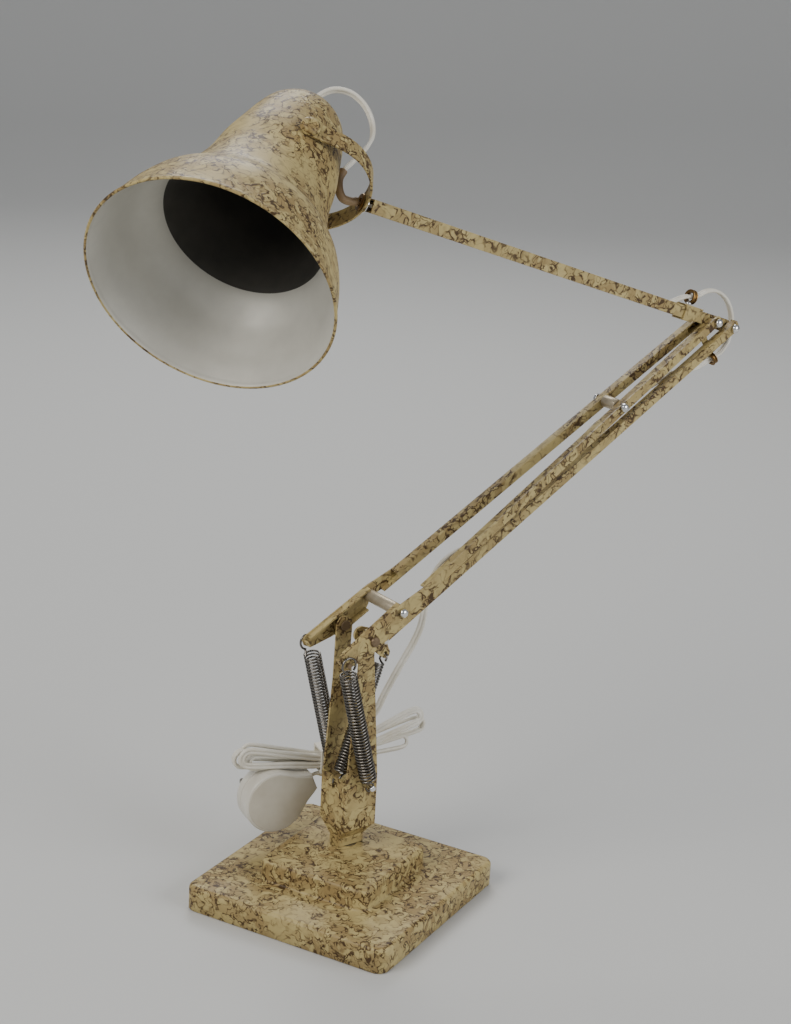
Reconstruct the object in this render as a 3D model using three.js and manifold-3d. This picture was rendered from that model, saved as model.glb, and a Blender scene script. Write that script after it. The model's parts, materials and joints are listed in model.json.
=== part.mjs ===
// Architect desk lamp: a stepped base, a swivelling fork, a three-spring balanced arm and a tilting shade.
// Millimetres, +Z up. The origin is on the underside of the base, on the swivel axis of the fork.
import * as THREE from "three";
import * as BufferGeometryUtils from "three/addons/utils/BufferGeometryUtils.js";
import Module from "manifold-3d";

const wasm = await Module();
wasm.setup();

const DEG = Math.PI / 180;
const GAP = 0.3; // clearance between neighbouring pieces

// Base
const BASE_CENTRE = [-9.4, -10.7];
const BASE_TURN = 23.63 * DEG;
const LOWER_TIER = { side: 152, height: 18 };
const UPPER_TIER = { side: 83, height: 15 };
const CORNER = 8;
const EDGE = 3;
const COVER_WALL = 1.6;
const FELT = 1.6;
const BASE_TOP = LOWER_TIER.height + UPPER_TIER.height;

// Fork and main pivot P
const PIVOT = new THREE.Vector3(0, 0, 185.7);
const FORK_HALF = 14; // outer face of a cheek
const SHEET = 1.5; // cheek thickness
const FOOT = { x: 9.9, y: 5.2, top: 39.5 };
const WEB_TOP = 84;
const EAR = 6.2;

// Arms: P to E, E to the arm's end, and the short offset that the crank and the tongue share
const LOWER_TILT = 30.9 * DEG;
const UPPER_TILT = 18.74 * DEG;
const LOWER_LENGTH = 346.3;
const UPPER_LENGTH = 319.6;
const OFFSET = 14.87;
const RAIL_SPREAD = 21; // outer face of a rail at P
const RAIL_CONVERGE = 1.945 * DEG;
const RAIL = { top: 4.6, bottom: -2.2, depth: 5.6, wall: 1.2, start: 36, end: 351, lip: [4.4, 5.62], lipEnd: 330 };
const SPACERS = [27, 246];
const SPACER_N = 2;
const LINK = { centre: -9.3, width: 5.6, height: 6.6, wall: 1.1, overhang: 4.6 };
const TUBE = { outer: 8.6, inner: 6.6 };

// Pins
const PIN = 1.6;
const BOLT = 2;
const DOME = 3.1;

// Springs
const COIL = 6;
const ARM_ANCHOR = { x: 2.2, z: 81.3 };
const ARM_HOOK = { s: -24.5, n: 1.5 };
const ARM_SPRING_Y = 20.5;
const LINK_ANCHOR = { x: -9.7, z: 77.4 };
const CRANK_HOOK = { x: 25.5, z: -9.9 };

// Head: the end of the arm, the yoke's direction away from it, the tilt axis and the shade
const HEAD = new THREE.Vector3(-10, 0, 467.7);
const YOKE_OUT = new THREE.Vector3(-0.883, 0.29, 0.37).normalize();
const TILT_AXIS = new THREE.Vector3(0.044, -0.719, 0.694);
const YOKE_REACH = 59; // head to tilt axis
const YOKE_RADIUS = 40.4;
const YOKE_BAND = { width: 12, thick: 1.6 };
const MOUTH_NORMAL = new THREE.Vector3(-0.724, -0.501, -0.474);
const MOUTH_BEHIND = 112.8; // mouth plane to tilt axis
const SHADE_WALL = 0.9;
const SHADE_PROFILE = [
  [76.1, 0],
  [72.8, 12],
  [69.2, 25],
  [63, 40],
  [52, 55],
  [46.3, 70],
  [41, 90],
  [38, 112],
  [34, 130],
  [30.4, 145],
  [26.5, 156],
  [19, 166],
  [9, 171.5],
];
const SHADE_TOP = 172.5;

// Cord: a flat twin flex, taken here as round
const FLEX = 2;
const RING = { inner: 3, outer: 5.4, thick: 3.6 };

const PAINT = { color: 0xcbb98a, roughness: 0.45, metalness: 0.1 };
const CHROME = { color: 0xd8d8d8, roughness: 0.12, metalness: 1 };
const STEEL = { color: 0x77736c, roughness: 0.4, metalness: 0.9 };
const SPRING_STEEL = { color: 0x39352f, roughness: 0.4, metalness: 0.9 };
const ALUMINIUM = { color: 0xb9a98a, roughness: 0.4, metalness: 0.6 };
const BRASS = { color: 0x8a6a2c, roughness: 0.4, metalness: 0.8 };
const IRON = { color: 0x3a3a3a, roughness: 0.8, metalness: 0.6 };
const FELT_LOOK = { color: 0x2e3b2b, roughness: 1, metalness: 0 };
const FLEX_LOOK = { color: 0xe6e2d6, roughness: 0.45, metalness: 0 };
const SLEEVE_LOOK = { color: 0x6b4a2c, roughness: 0.6, metalness: 0 };
const PLUG_LOOK = { color: 0xcfc8b6, roughness: 0.5, metalness: 0 };
const HOLDER_LOOK = { color: 0x1c1a18, roughness: 0.35, metalness: 0 };

const lamp = new THREE.Group();

// ---------- helpers ----------

function solid(geometry) {
  const plain = geometry.clone();
  plain.deleteAttribute("normal");
  plain.deleteAttribute("uv");
  const merged = BufferGeometryUtils.mergeVertices(plain, 1e-4);
  const index = merged.index.array;
  const kept = [];
  for (let i = 0; i < index.length; i += 3) {
    const [a, b, c] = [index[i], index[i + 1], index[i + 2]];
    if (a !== b && b !== c && c !== a) kept.push(a, b, c);
  }
  const vertProperties = new Float32Array(merged.attributes.position.array);
  const mesh = new wasm.Mesh({ numProp: 3, vertProperties, triVerts: new Uint32Array(kept) });
  return new wasm.Manifold(mesh);
}

function geometryOf(manifold) {
  const mesh = manifold.getMesh();
  const geometry = new THREE.BufferGeometry();
  geometry.setAttribute("position", new THREE.BufferAttribute(mesh.vertProperties, 3));
  geometry.setIndex(new THREE.BufferAttribute(mesh.triVerts, 1));
  return geometry;
}

function join(...shapes) {
  return geometryOf(shapes.map(solid).reduce((a, b) => a.add(b)));
}

function cut(shape, ...holes) {
  return geometryOf(holes.map(solid).reduce((a, b) => a.subtract(b), solid(shape)));
}

function block(x0, x1, y0, y1, z0, z1) {
  const box = new THREE.BoxGeometry(x1 - x0, y1 - y0, z1 - z0);
  return box.translate((x0 + x1) / 2, (y0 + y1) / 2, (z0 + z1) / 2);
}

function rodZ(radius, z0, z1, x = 0, y = 0, sides = 20) {
  const rod = new THREE.CylinderGeometry(radius, radius, z1 - z0, sides);
  return rod.rotateX(Math.PI / 2).translate(x, y, (z0 + z1) / 2);
}

function rodY(radius, y0, y1, x = 0, z = 0, sides = 16) {
  const rod = new THREE.CylinderGeometry(radius, radius, y1 - y0, sides);
  return rod.translate(x, (y0 + y1) / 2, z);
}

// A solid of revolution about Z from [radius, height] points.
function turned(points, sides = 20) {
  const profile = points.map(([r, h]) => new THREE.Vector2(r, h));
  return new THREE.LatheGeometry(profile, sides).rotateX(Math.PI / 2);
}

// An outline in the XZ plane, extruded from y0 to y1.
function plate(shape, y0, y1, holes = []) {
  holes.forEach((hole) => shape.holes.push(hole));
  const options = { depth: y1 - y0, bevelEnabled: false, curveSegments: 6 };
  return new THREE.ExtrudeGeometry(shape, options).rotateX(Math.PI / 2).translate(0, y1, 0);
}

function outline(points) {
  return new THREE.Shape(points.map(([x, y]) => new THREE.Vector2(x, y)));
}

function ringSection(radius, sides) {
  const shape = new THREE.Shape();
  for (let i = 0; i < sides; i += 1) {
    const angle = (2 * Math.PI * i) / sides;
    const [x, y] = [radius * Math.cos(angle), radius * Math.sin(angle)];
    if (i === 0) shape.moveTo(x, y);
    else shape.lineTo(x, y);
  }
  shape.closePath();
  return shape;
}

// A round cord along hand-chosen points.
function cordAlong(points, radius, steps, sides = 8) {
  const path = new THREE.CatmullRomCurve3(points.map((p) => new THREE.Vector3(...p)), false, "centripetal");
  const options = { steps, bevelEnabled: false, extrudePath: path };
  return new THREE.ExtrudeGeometry(ringSection(radius, sides), options);
}

function roundedSquare(side, radius) {
  const h = side / 2;
  const shape = new THREE.Shape();
  shape.moveTo(-h + radius, -h);
  shape.lineTo(h - radius, -h);
  shape.absarc(h - radius, -h + radius, radius, -Math.PI / 2, 0, false);
  shape.absarc(h - radius, h - radius, radius, 0, Math.PI / 2, false);
  shape.absarc(-h + radius, h - radius, radius, Math.PI / 2, Math.PI, false);
  shape.absarc(-h + radius, -h + radius, radius, Math.PI, 1.5 * Math.PI, false);
  return shape;
}

// A square block with round corners, and a rounded rim when edge is above zero.
function tier(side, radius, z0, z1, edge = 0) {
  const inner = roundedSquare(side, radius);
  const options = {
    depth: z1 - z0 - 2 * edge,
    bevelEnabled: edge > 0,
    bevelThickness: edge,
    bevelSize: edge,
    bevelOffset: -edge,
    bevelSegments: 2,
    curveSegments: 4,
  };
  return new THREE.ExtrudeGeometry(inner, options).translate(0, 0, z0 + edge);
}

function part(parent, name, geometry, look) {
  const mesh = new THREE.Mesh(geometry, new THREE.MeshStandardMaterial(look));
  mesh.name = name;
  parent.add(mesh);
  return mesh;
}

function groupAt(parent, position) {
  const group = new THREE.Group();
  group.position.copy(position);
  parent.add(group);
  return group;
}

// A group whose local axes are the given world directions.
function framed(parent, position, xAxis, zAxis) {
  const group = groupAt(parent, position);
  const z = zAxis.clone().normalize();
  const x = xAxis.clone().addScaledVector(z, -xAxis.dot(z)).normalize();
  const y = z.clone().cross(x);
  group.quaternion.setFromRotationMatrix(new THREE.Matrix4().makeBasis(x, y, z));
  return group;
}

// A dome-headed pin along Y: shank from y0 to y1, with its dome beyond y0.
function domedPin(shank, dome, y0, y1, x, z) {
  const length = Math.abs(y1 - y0);
  const points = [
    [0, length],
    [shank, length],
    [shank, 0],
    [dome, 0],
    [dome, -1],
    [dome * 0.75, -2.2],
    [dome * 0.35, -2.9],
    [0, -3],
  ].reverse();
  const pin = turned(points, 16);
  pin.rotateX(y1 > y0 ? -Math.PI / 2 : Math.PI / 2);
  return pin.translate(x, y0, z);
}

// ---------- base ----------

const base = groupAt(lamp, new THREE.Vector3(BASE_CENTRE[0], BASE_CENTRE[1], 0));
base.rotation.z = BASE_TURN;
const axisInBase = new THREE.Vector2(-BASE_CENTRE[0], -BASE_CENTRE[1]).rotateAround(new THREE.Vector2(), -BASE_TURN);
const BUSH = { bore: 3.8, body: 7, flange: 10 };

function baseCover() {
  const belowFloor = block(-90, 90, -90, 90, -20, 0.4);
  const shell = join(
    tier(LOWER_TIER.side, CORNER, -EDGE * 2, LOWER_TIER.height, EDGE),
    tier(UPPER_TIER.side, CORNER, LOWER_TIER.height - EDGE * 3, BASE_TOP, EDGE),
  );
  const lowerRoom = tier(LOWER_TIER.side - 2 * COVER_WALL, CORNER - COVER_WALL, -1, LOWER_TIER.height - COVER_WALL);
  const upperRoom = tier(UPPER_TIER.side - 2 * COVER_WALL, CORNER - COVER_WALL, 5, BASE_TOP - COVER_WALL);
  const bore = rodZ(BUSH.body + GAP, 5, BASE_TOP + 5, axisInBase.x, axisInBase.y);
  return cut(shell, belowFloor, lowerRoom, upperRoom, bore);
}

function baseWeight() {
  const lower = tier(LOWER_TIER.side - 2 * COVER_WALL - 1, CORNER, FELT + GAP, LOWER_TIER.height - COVER_WALL - GAP);
  const upper = tier(UPPER_TIER.side - 2 * COVER_WALL - 1, CORNER, 5, BASE_TOP - COVER_WALL - GAP);
  const bore = rodZ(BUSH.flange + 1, 0, BASE_TOP, axisInBase.x, axisInBase.y);
  return cut(join(lower, upper), bore);
}

function swivelBush() {
  const top = BASE_TOP;
  const shelf = BASE_TOP - COVER_WALL - GAP;
  return turned([
    [BUSH.bore, shelf - 6],
    [BUSH.flange, shelf - 6],
    [BUSH.flange, shelf],
    [BUSH.body, shelf],
    [BUSH.body, top],
    [BUSH.bore, top],
    [BUSH.bore, shelf - 6],
  ]).translate(axisInBase.x, axisInBase.y, 0);
}

part(base, "base_cover", baseCover(), PAINT);
part(base, "base_weight", baseWeight(), IRON);
part(base, "base_felt", tier(LOWER_TIER.side - 2 * COVER_WALL - 1, CORNER, 0, FELT), FELT_LOOK);
part(base, "swivel_bush", swivelBush(), STEEL);

// ---------- fork ----------

const SPINDLE = 3.5;

// A block whose bottom and top are rectangles of different half sizes.
function flare(bottom, top, z0, z1) {
  const shape = new THREE.BoxGeometry(2, 2, 2);
  const position = shape.attributes.position;
  for (let i = 0; i < position.count; i += 1) {
    const half = position.getZ(i) > 0 ? top : bottom;
    position.setXYZ(i, position.getX(i) * half[0], position.getY(i) * half[1], position.getZ(i) > 0 ? z1 : z0);
  }
  return shape;
}

function cheekOutline() {
  const shape = new THREE.Shape();
  shape.moveTo(-12.4, 49);
  shape.lineTo(12.9, 49);
  shape.lineTo(12.9, 86);
  shape.lineTo(EAR - 0.6, 172);
  shape.absarc(0, PIVOT.z, EAR, -0.1, Math.PI + 0.1, false);
  shape.lineTo(-EAR - 0.8, 150);
  shape.lineTo(-12.4, 78);
  return shape;
}

function fork() {
  const inner = FORK_HALF - SHEET;
  const foot = block(-FOOT.x, FOOT.x, -FOOT.y, FOOT.y, BASE_TOP + GAP, FOOT.top);
  const spread = flare([FOOT.x, FOOT.y], [12.4, FORK_HALF], FOOT.top - 0.01, 50);
  const cheeks = [-1, 1].map((side) => {
    const [y0, y1] = side < 0 ? [-FORK_HALF, -inner] : [inner, FORK_HALF];
    return plate(cheekOutline(), y0, y1);
  });
  const web = block(-12.4, -12.4 + SHEET, -FORK_HALF + 0.1, FORK_HALF - 0.1, 49, WEB_TOP);
  const body = join(foot, spread, ...cheeks, web);
  const holes = [
    rodZ(SPINDLE + GAP, BASE_TOP - 1, 51),
    rodY(BOLT + GAP, -FORK_HALF - 1, FORK_HALF + 1, PIVOT.x, PIVOT.z),
    rodY(PIN + GAP, -FORK_HALF - 1, FORK_HALF + 1, ARM_ANCHOR.x, ARM_ANCHOR.z),
    block(-14, -10, -1.6, 1.6, LINK_ANCHOR.z - 1.6, LINK_ANCHOR.z + 1.6),
  ];
  return cut(body, ...holes);
}

function spindle() {
  const bottom = BASE_TOP - COVER_WALL - 14;
  return turned([
    [0, bottom],
    [SPINDLE, bottom],
    [SPINDLE, 50 + GAP],
    [6.5, 50 + GAP],
    [6.5, 52],
    [4, 53.6],
    [0, 54],
  ]);
}

function washerRing(inner, outer, z0, z1, sides = 20) {
  return turned([[inner, z0], [outer, z0], [outer, z1], [inner, z1], [inner, z0]], sides);
}

function hexNut(inner, outer, z0, z1) {
  return cut(rodZ(outer, z0, z1, 0, 0, 6), rodZ(inner, z0 - 1, z1 + 1));
}

const bushBottom = BASE_TOP - COVER_WALL - GAP - 6;
part(lamp, "fork", fork(), PAINT);
part(lamp, "spindle", spindle(), STEEL);
part(lamp, "spindle_washer", washerRing(SPINDLE + GAP, 8.5, bushBottom - 1.5 - GAP, bushBottom - GAP), STEEL);
part(lamp, "spindle_nut", hexNut(SPINDLE + GAP, 6.5, bushBottom - 6.5, bushBottom - 2 - GAP), STEEL);

// Spring anchor pins, one per cheek, with a head inside the cheek.
function anchorPin(side) {
  const points = [
    [0, 10.4],
    [3, 10.4],
    [3, FORK_HALF - SHEET - GAP],
    [PIN, FORK_HALF - SHEET - GAP],
    [PIN, 23.4],
    [2.3, 23.6],
    [2.2, 24.6],
    [0, 25],
  ];
  return turned(points, 12).rotateX(side * -Math.PI / 2).translate(ARM_ANCHOR.x, 0, ARM_ANCHOR.z);
}

part(lamp, "anchor_pin_right", anchorPin(-1), CHROME);
part(lamp, "anchor_pin_left", anchorPin(1), CHROME);

// Pivot pins: the right one also carries the crank.
function pivotPin(side, inner) {
  const points = [
    [0, inner],
    [BOLT + 1.4, inner],
    [BOLT + 1.4, inner + 1],
    [BOLT, inner + 1],
    [BOLT, RAIL_SPREAD + GAP],
    [3.6, RAIL_SPREAD + GAP],
    [3.2, RAIL_SPREAD + 1.4],
    [0, RAIL_SPREAD + 2],
  ];
  return turned(points, 16).rotateX(side * -Math.PI / 2).translate(PIVOT.x, 0, PIVOT.z);
}

part(lamp, "pivot_pin_right", pivotPin(-1, 2.2), STEEL);
part(lamp, "pivot_pin_left", pivotPin(1, 11), STEEL);

// ---------- lower arm ----------

const lowerArm = groupAt(lamp, PIVOT);
lowerArm.rotation.y = -LOWER_TILT;

// Distance of a rail's outer face from the arm's middle plane.
const railFace = (s) => RAIL_SPREAD - s * Math.tan(RAIL_CONVERGE);

// The side web of a rail with its tail lever, in the rail's own plane.
function railWeb() {
  return outline([
    [-28, 6.5],
    [-28.5, 3],
    [-25.5, -1.6],
    [-8, -6.2],
    [22, -6.2],
    [24.5, -4.6],
    [27, -1.6],
    [RAIL.start, RAIL.bottom],
    [RAIL.end - 3, RAIL.bottom],
    [RAIL.end, 0],
    [RAIL.end - 1, 3.4],
    [RAIL.end - 4, RAIL.top],
    [52, RAIL.top],
    [30, 7.6],
    [-25, 8.2],
  ]);
}

// The right rail is a channel, open inwards for the cord. The left rail has an inner lip that closes its channel.
function rail(side) {
  const inward = -side;
  const span = (depth0, depth1) => [inward * depth0, inward * depth1].sort((a, b) => a - b);
  const box = (x0, x1, d0, d1, z0, z1) => {
    const [y0, y1] = span(d0, d1);
    return block(x0, x1, y0, y1, z0, z1);
  };
  const [w0, w1] = span(0, RAIL.wall);
  const web = plate(railWeb(), w0, w1);
  const topFlange = box(50, RAIL.end - 6, 0.1, RAIL.depth, RAIL.top - RAIL.wall, RAIL.top - 0.02);
  const lowFlange = box(RAIL.start + 1, RAIL.end - 6, 0.1, RAIL.depth, RAIL.bottom + 0.02, RAIL.bottom + RAIL.wall);
  const tailTop = box(-24, 29, 0.1, RAIL.depth, 6.2, 7.5);
  const tailLow = box(-7, 21, 0.1, RAIL.depth, -6.1, -4.9);
  const tailEnd = box(-27.5, -26.3, 0.1, RAIL.depth, 2.5, 6.4);
  const body = join(web, topFlange, lowFlange, tailTop, tailLow, tailEnd);
  const closed = side > 0 ? join(body, box(50.5, RAIL.lipEnd, ...RAIL.lip, RAIL.bottom + 0.05, RAIL.top - 0.05)) : body;
  const along = 1 / Math.cos(RAIL_CONVERGE);
  const holes = [
    rodY(BOLT + GAP, -10, 10),
    ...SPACERS.map((s) => rodY(PIN + GAP, -10, 10, s * along, SPACER_N)),
    rodY(BOLT + GAP, -10, 10, LOWER_LENGTH * along, 0),
    rodY(1.3, -10, 10, ARM_HOOK.s, ARM_HOOK.n, 10),
  ];
  return cut(closed, ...holes);
}

[["right", -1], ["left", 1]].forEach(([word, side]) => {
  const frame = groupAt(lowerArm, new THREE.Vector3(0, side * RAIL_SPREAD, 0));
  frame.rotation.z = -side * RAIL_CONVERGE;
  part(frame, `arm_rail_${word}`, rail(side), PAINT);
});

SPACERS.forEach((s, i) => {
  const inset = s < RAIL.start ? RAIL.wall : RAIL.depth;
  const reach = railFace(s) - inset - GAP - 0.25;
  const radius = 4.2;
  const tube = turned([[PIN + GAP, -reach], [radius, -reach], [radius, reach], [PIN + GAP, reach], [PIN + GAP, -reach]]);
  part(lowerArm, `spacer_${i + 1}`, tube.rotateX(Math.PI / 2).translate(s, 0, SPACER_N), ALUMINIUM);
  const face = railFace(s) + GAP + 0.2;
  part(lowerArm, `spacer_bolt_${i + 1}`, domedPin(PIN, DOME, -face, face + 2.5, s, SPACER_N), CHROME);
  const nut = hexNut(PIN + GAP, DOME + 0.3, 0, 2.2).rotateX(-Math.PI / 2);
  part(lowerArm, `spacer_nut_${i + 1}`, nut.translate(s, face, SPACER_N), CHROME);
});

const elbowFace = railFace(LOWER_LENGTH) + GAP + 0.2;
part(lowerArm, "elbow_bolt", domedPin(BOLT, DOME, -elbowFace, elbowFace + 2.8, LOWER_LENGTH, 0), CHROME);
const elbowNut = hexNut(BOLT + GAP, DOME + 0.4, 0, 2.4).rotateX(-Math.PI / 2);
part(lowerArm, "elbow_nut", elbowNut.translate(LOWER_LENGTH, elbowFace, 0), CHROME);

// The lower guide ring hangs on a strip under the right rail.
const RING_LOW = { s: 333.8, n: -23.6, y: -4.6 };
const stripTop = RAIL.bottom - GAP;
const stripLow = RING_LOW.n + RING.outer + GAP;
const strip = block(RING_LOW.s - 2.5, RING_LOW.s + 2.5, RING_LOW.y - 0.6, RING_LOW.y + 0.6, stripLow, stripTop);
part(lowerArm, "guide_strip", strip, PAINT);

// A grommet with a waist, its axis along local X.
function guideRing() {
  const half = RING.thick / 2;
  const points = [
    [RING.inner, -half + 0.4],
    [RING.outer - 0.5, -half],
    [RING.outer, -half + 0.5],
    [RING.outer - 1.3, -0.5],
    [RING.outer - 1.3, 0.5],
    [RING.outer, half - 0.5],
    [RING.outer - 0.5, half],
    [RING.inner, half - 0.4],
    [RING.inner, -half + 0.4],
  ];
  return turned(points, 18).rotateY(Math.PI / 2);
}

part(lowerArm, "guide_ring_lower", guideRing().translate(RING_LOW.s, RING_LOW.y, RING_LOW.n), BRASS);

// ---------- crank and parallel link ----------

const crankFrame = groupAt(lamp, PIVOT);
crankFrame.rotation.y = UPPER_TILT;

function crank() {
  const shape = new THREE.Shape();
  shape.absarc(0, 0, 5.2, 80 * DEG, 290 * DEG, false);
  shape.absarc(CRANK_HOOK.x, CRANK_HOOK.z, 3.6, 250 * DEG, 420 * DEG, false);
  shape.absarc(OFFSET + 1, 0, 4.6, 20 * DEG, 90 * DEG, false);
  const body = plate(shape, -5.8, -3.9);
  const holes = [
    rodY(BOLT + GAP, -8, -2),
    rodY(PIN + GAP, -8, -2, OFFSET, 0),
    rodY(1.3, -8, -2, CRANK_HOOK.x, CRANK_HOOK.z, 10),
  ];
  return cut(body, ...holes);
}

part(crankFrame, "crank", crank(), PAINT);
part(crankFrame, "crank_pin", domedPin(PIN, 2.6, -12.5, -2.2, OFFSET, 0), CHROME);

const crankTip = new THREE.Vector3(OFFSET, 0, 0).applyEuler(new THREE.Euler(0, UPPER_TILT, 0));
const linkFrame = groupAt(lamp, PIVOT.clone().add(crankTip));
linkFrame.rotation.y = -LOWER_TILT;

function link() {
  const { centre, width, height, wall, overhang } = LINK;
  const [y0, y1] = [centre - width / 2, centre + width / 2];
  const outer = block(-overhang, LOWER_LENGTH + overhang, y0, y1, -height / 2, height / 2);
  const room = block(-9, LOWER_LENGTH + 9, y0 + wall, y1 - wall, -height, height / 2 - wall);
  const holes = [0, LOWER_LENGTH].map((x) => rodY(PIN + GAP, y0 - 1, y1 + 1, x, 0));
  return cut(outer, room, ...holes);
}

part(linkFrame, "parallel_link", link(), PAINT);

// ---------- upper arm ----------

const elbow = new THREE.Vector3(LOWER_LENGTH, 0, 0).applyEuler(new THREE.Euler(0, -LOWER_TILT, 0)).add(PIVOT);
const upperArm = groupAt(lamp, elbow);
upperArm.rotation.y = UPPER_TILT;
const TUBE_END = -17;
const SLOT = { from: -52, to: -33, half: 2.6 };

function armTube() {
  const [o, i] = [TUBE.outer / 2, TUBE.inner / 2];
  const outer = block(-UPPER_LENGTH, TUBE_END, -o, o, -o, o);
  const inner = block(-UPPER_LENGTH - 1, TUBE_END + 1, -i, i, -i, i);
  const slot = block(SLOT.from, SLOT.to, -SLOT.half, SLOT.half, 0, o + 1);
  return cut(outer, inner, slot);
}

function elbowBracket() {
  const half = 5.6;
  const room = TUBE.outer / 2 + GAP;
  const sleeve = plate(outline([[-31, -half], [-22, -half], [-14, half], [-31, half]]), -half, half);
  const tongue = new THREE.Shape();
  tongue.moveTo(-20, -3.6);
  tongue.lineTo(OFFSET, -4.6);
  tongue.absarc(OFFSET, 0, 4.6, -Math.PI / 2, Math.PI / 2, false);
  tongue.lineTo(-18, 4.2);
  const body = join(sleeve, plate(tongue, -3.2, 3.2));
  const holes = [
    block(-32, TUBE_END + GAP, -room, room, -room, room),
    rodY(BOLT + GAP, -6, 6),
    rodY(PIN + GAP, -6, 6, OFFSET, 0),
  ];
  return cut(body, ...holes);
}

part(upperArm, "upper_arm_tube", armTube(), PAINT);
part(upperArm, "elbow_bracket", elbowBracket(), PAINT);
part(upperArm, "link_pin", domedPin(PIN - 0.3, DOME, -12.7, 6, OFFSET, 0), CHROME);
const RING_HIGH = { x: -24.7, z: 5.6 + GAP + RING.outer };
part(upperArm, "guide_ring_upper", guideRing().translate(RING_HIGH.x, 0, RING_HIGH.z), BRASS);
const screw = turned([[0, 0], [2.2, 0], [2.2, 0.8], [1.4, 1.7], [0, 2]], 12);
part(upperArm, "guide_screw", screw.translate(-28.3, -3.2, 5.6 + GAP), CHROME);

// ---------- springs ----------

// A coil between its anchor and its hook, in two pieces: the coil and the short shank of its upper hook.
function spring(name, anchor, hook, coilEnd) {
  const reach = hook.clone().sub(anchor);
  const frame = groupAt(lamp, anchor);
  frame.quaternion.setFromUnitVectors(new THREE.Vector3(0, 0, 1), reach.clone().normalize());
  const top = reach.length() - coilEnd;
  part(frame, `${name}_hook`, rodZ(1, top + GAP, top + 3.5, 0, 0, 8), SPRING_STEEL);
  return { frame, top };
}

const lowerPoint = (s, y, n) => new THREE.Vector3(s, y, n).applyEuler(lowerArm.rotation).add(PIVOT);
[["right", -1], ["left", 1]].forEach(([word, side]) => {
  const name = `arm_spring_${word}`;
  const anchor = new THREE.Vector3(ARM_ANCHOR.x, side * ARM_SPRING_Y, ARM_ANCHOR.z);
  const hook = lowerPoint(ARM_HOOK.s, side * ARM_SPRING_Y, ARM_HOOK.n);
  const { frame, top } = spring(name, anchor, hook, 7);
  part(frame, name, rodZ(COIL, 6, top, 0, 0, 16), SPRING_STEEL);
});

const crankHook = new THREE.Vector3(CRANK_HOOK.x, 0, CRANK_HOOK.z).applyEuler(crankFrame.rotation).add(PIVOT);
const linkAnchor = new THREE.Vector3(LINK_ANCHOR.x, 0, LINK_ANCHOR.z);
const linkSpring = spring("link_spring", linkAnchor, crankHook, 8);
const springSplit = (linkSpring.top + 9) / 2;
part(linkSpring.frame, "link_spring_lower", rodZ(COIL - 0.3, 9, springSplit - GAP, 0, 0, 16), SPRING_STEEL);
part(linkSpring.frame, "link_spring_upper", rodZ(COIL - 0.3, springSplit, linkSpring.top, 0, 0, 16), SPRING_STEEL);

// ---------- head ----------

const tiltCentre = HEAD.clone().addScaledVector(YOKE_OUT, YOKE_REACH);
const yokeFrame = framed(lamp, tiltCentre, TILT_AXIS, YOKE_OUT);
const EYELET = { bore: 2.7, body: 3.9 };

function yoke() {
  const { width, thick } = YOKE_BAND;
  const [inner, outer] = [YOKE_RADIUS - thick / 2, YOKE_RADIUS + thick / 2];
  const bend = YOKE_RADIUS - YOKE_REACH;
  const band = new THREE.Shape();
  band.moveTo(inner, 0);
  band.lineTo(outer, 0);
  band.absarc(0, bend, outer, 0, -Math.PI, true);
  band.lineTo(-outer, 0);
  band.lineTo(-inner, 0);
  band.absarc(0, bend, inner, -Math.PI, 0, false);
  const options = { depth: width, bevelEnabled: false, curveSegments: 14 };
  const strap = new THREE.ExtrudeGeometry(band, options).rotateX(Math.PI / 2).translate(0, width / 2, 0);
  const ends = [-1, 1].map((side) => {
    const end = new THREE.CylinderGeometry(width / 2, width / 2, thick, 20).rotateZ(Math.PI / 2);
    return end.translate(side * YOKE_RADIUS, 0, 0);
  });
  const bossHole = new THREE.CylinderGeometry(PIN + GAP, PIN + GAP, 100, 12).rotateZ(Math.PI / 2);
  const eyeletHole = rodZ(EYELET.body + GAP, -YOKE_REACH - 4, -YOKE_REACH + 4);
  return cut(join(strap, ...ends), bossHole, eyeletHole);
}

part(yokeFrame, "yoke", yoke(), PAINT);

// Hollow rivet that the yoke swivels on; the cord runs through it into the arm.
function swivelEyelet() {
  const front = -YOKE_REACH + YOKE_BAND.thick / 2 + GAP + 0.5;
  const back = -YOKE_REACH - YOKE_BAND.thick / 2 - 1.9;
  return turned([
    [EYELET.bore, back],
    [EYELET.body, back],
    [EYELET.body, front],
    [EYELET.body + 1.8, front],
    [EYELET.body + 1.2, front + 1.2],
    [EYELET.bore, front + 1.2],
    [EYELET.bore, back],
  ]);
}

// Collar at the end of the arm tube, square to the yoke.
function swivelCollar() {
  const front = -YOKE_REACH - YOKE_BAND.thick / 2 - GAP;
  return washerRing(EYELET.body + GAP, 5.6, front - 0.8, front);
}

part(yokeFrame, "swivel_eyelet", swivelEyelet(), BRASS);
part(yokeFrame, "swivel_washer", swivelCollar(), CHROME);

// Tilt screws with round heads, the shade's clamps.
["front", "rear"].forEach((word, i) => {
  const side = i === 0 ? 1 : -1;
  const face = YOKE_RADIUS + YOKE_BAND.thick / 2 + GAP;
  const shank = YOKE_RADIUS - YOKE_BAND.thick / 2 - GAP;
  const points = [[0, shank - 0.2], [PIN, shank - 0.2], [PIN, face], [6, face], [6, face + 2], [4.4, face + 3.6], [0, face + 4]];
  part(yokeFrame, `tilt_boss_${word}`, turned(points, 20).rotateY(side * Math.PI / 2), PAINT);
});

const shadeFrame = framed(lamp, tiltCentre, TILT_AXIS, MOUTH_NORMAL.clone().negate());
const GLAND = { bore: 2.5, body: 4, flange: 6 };

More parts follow.
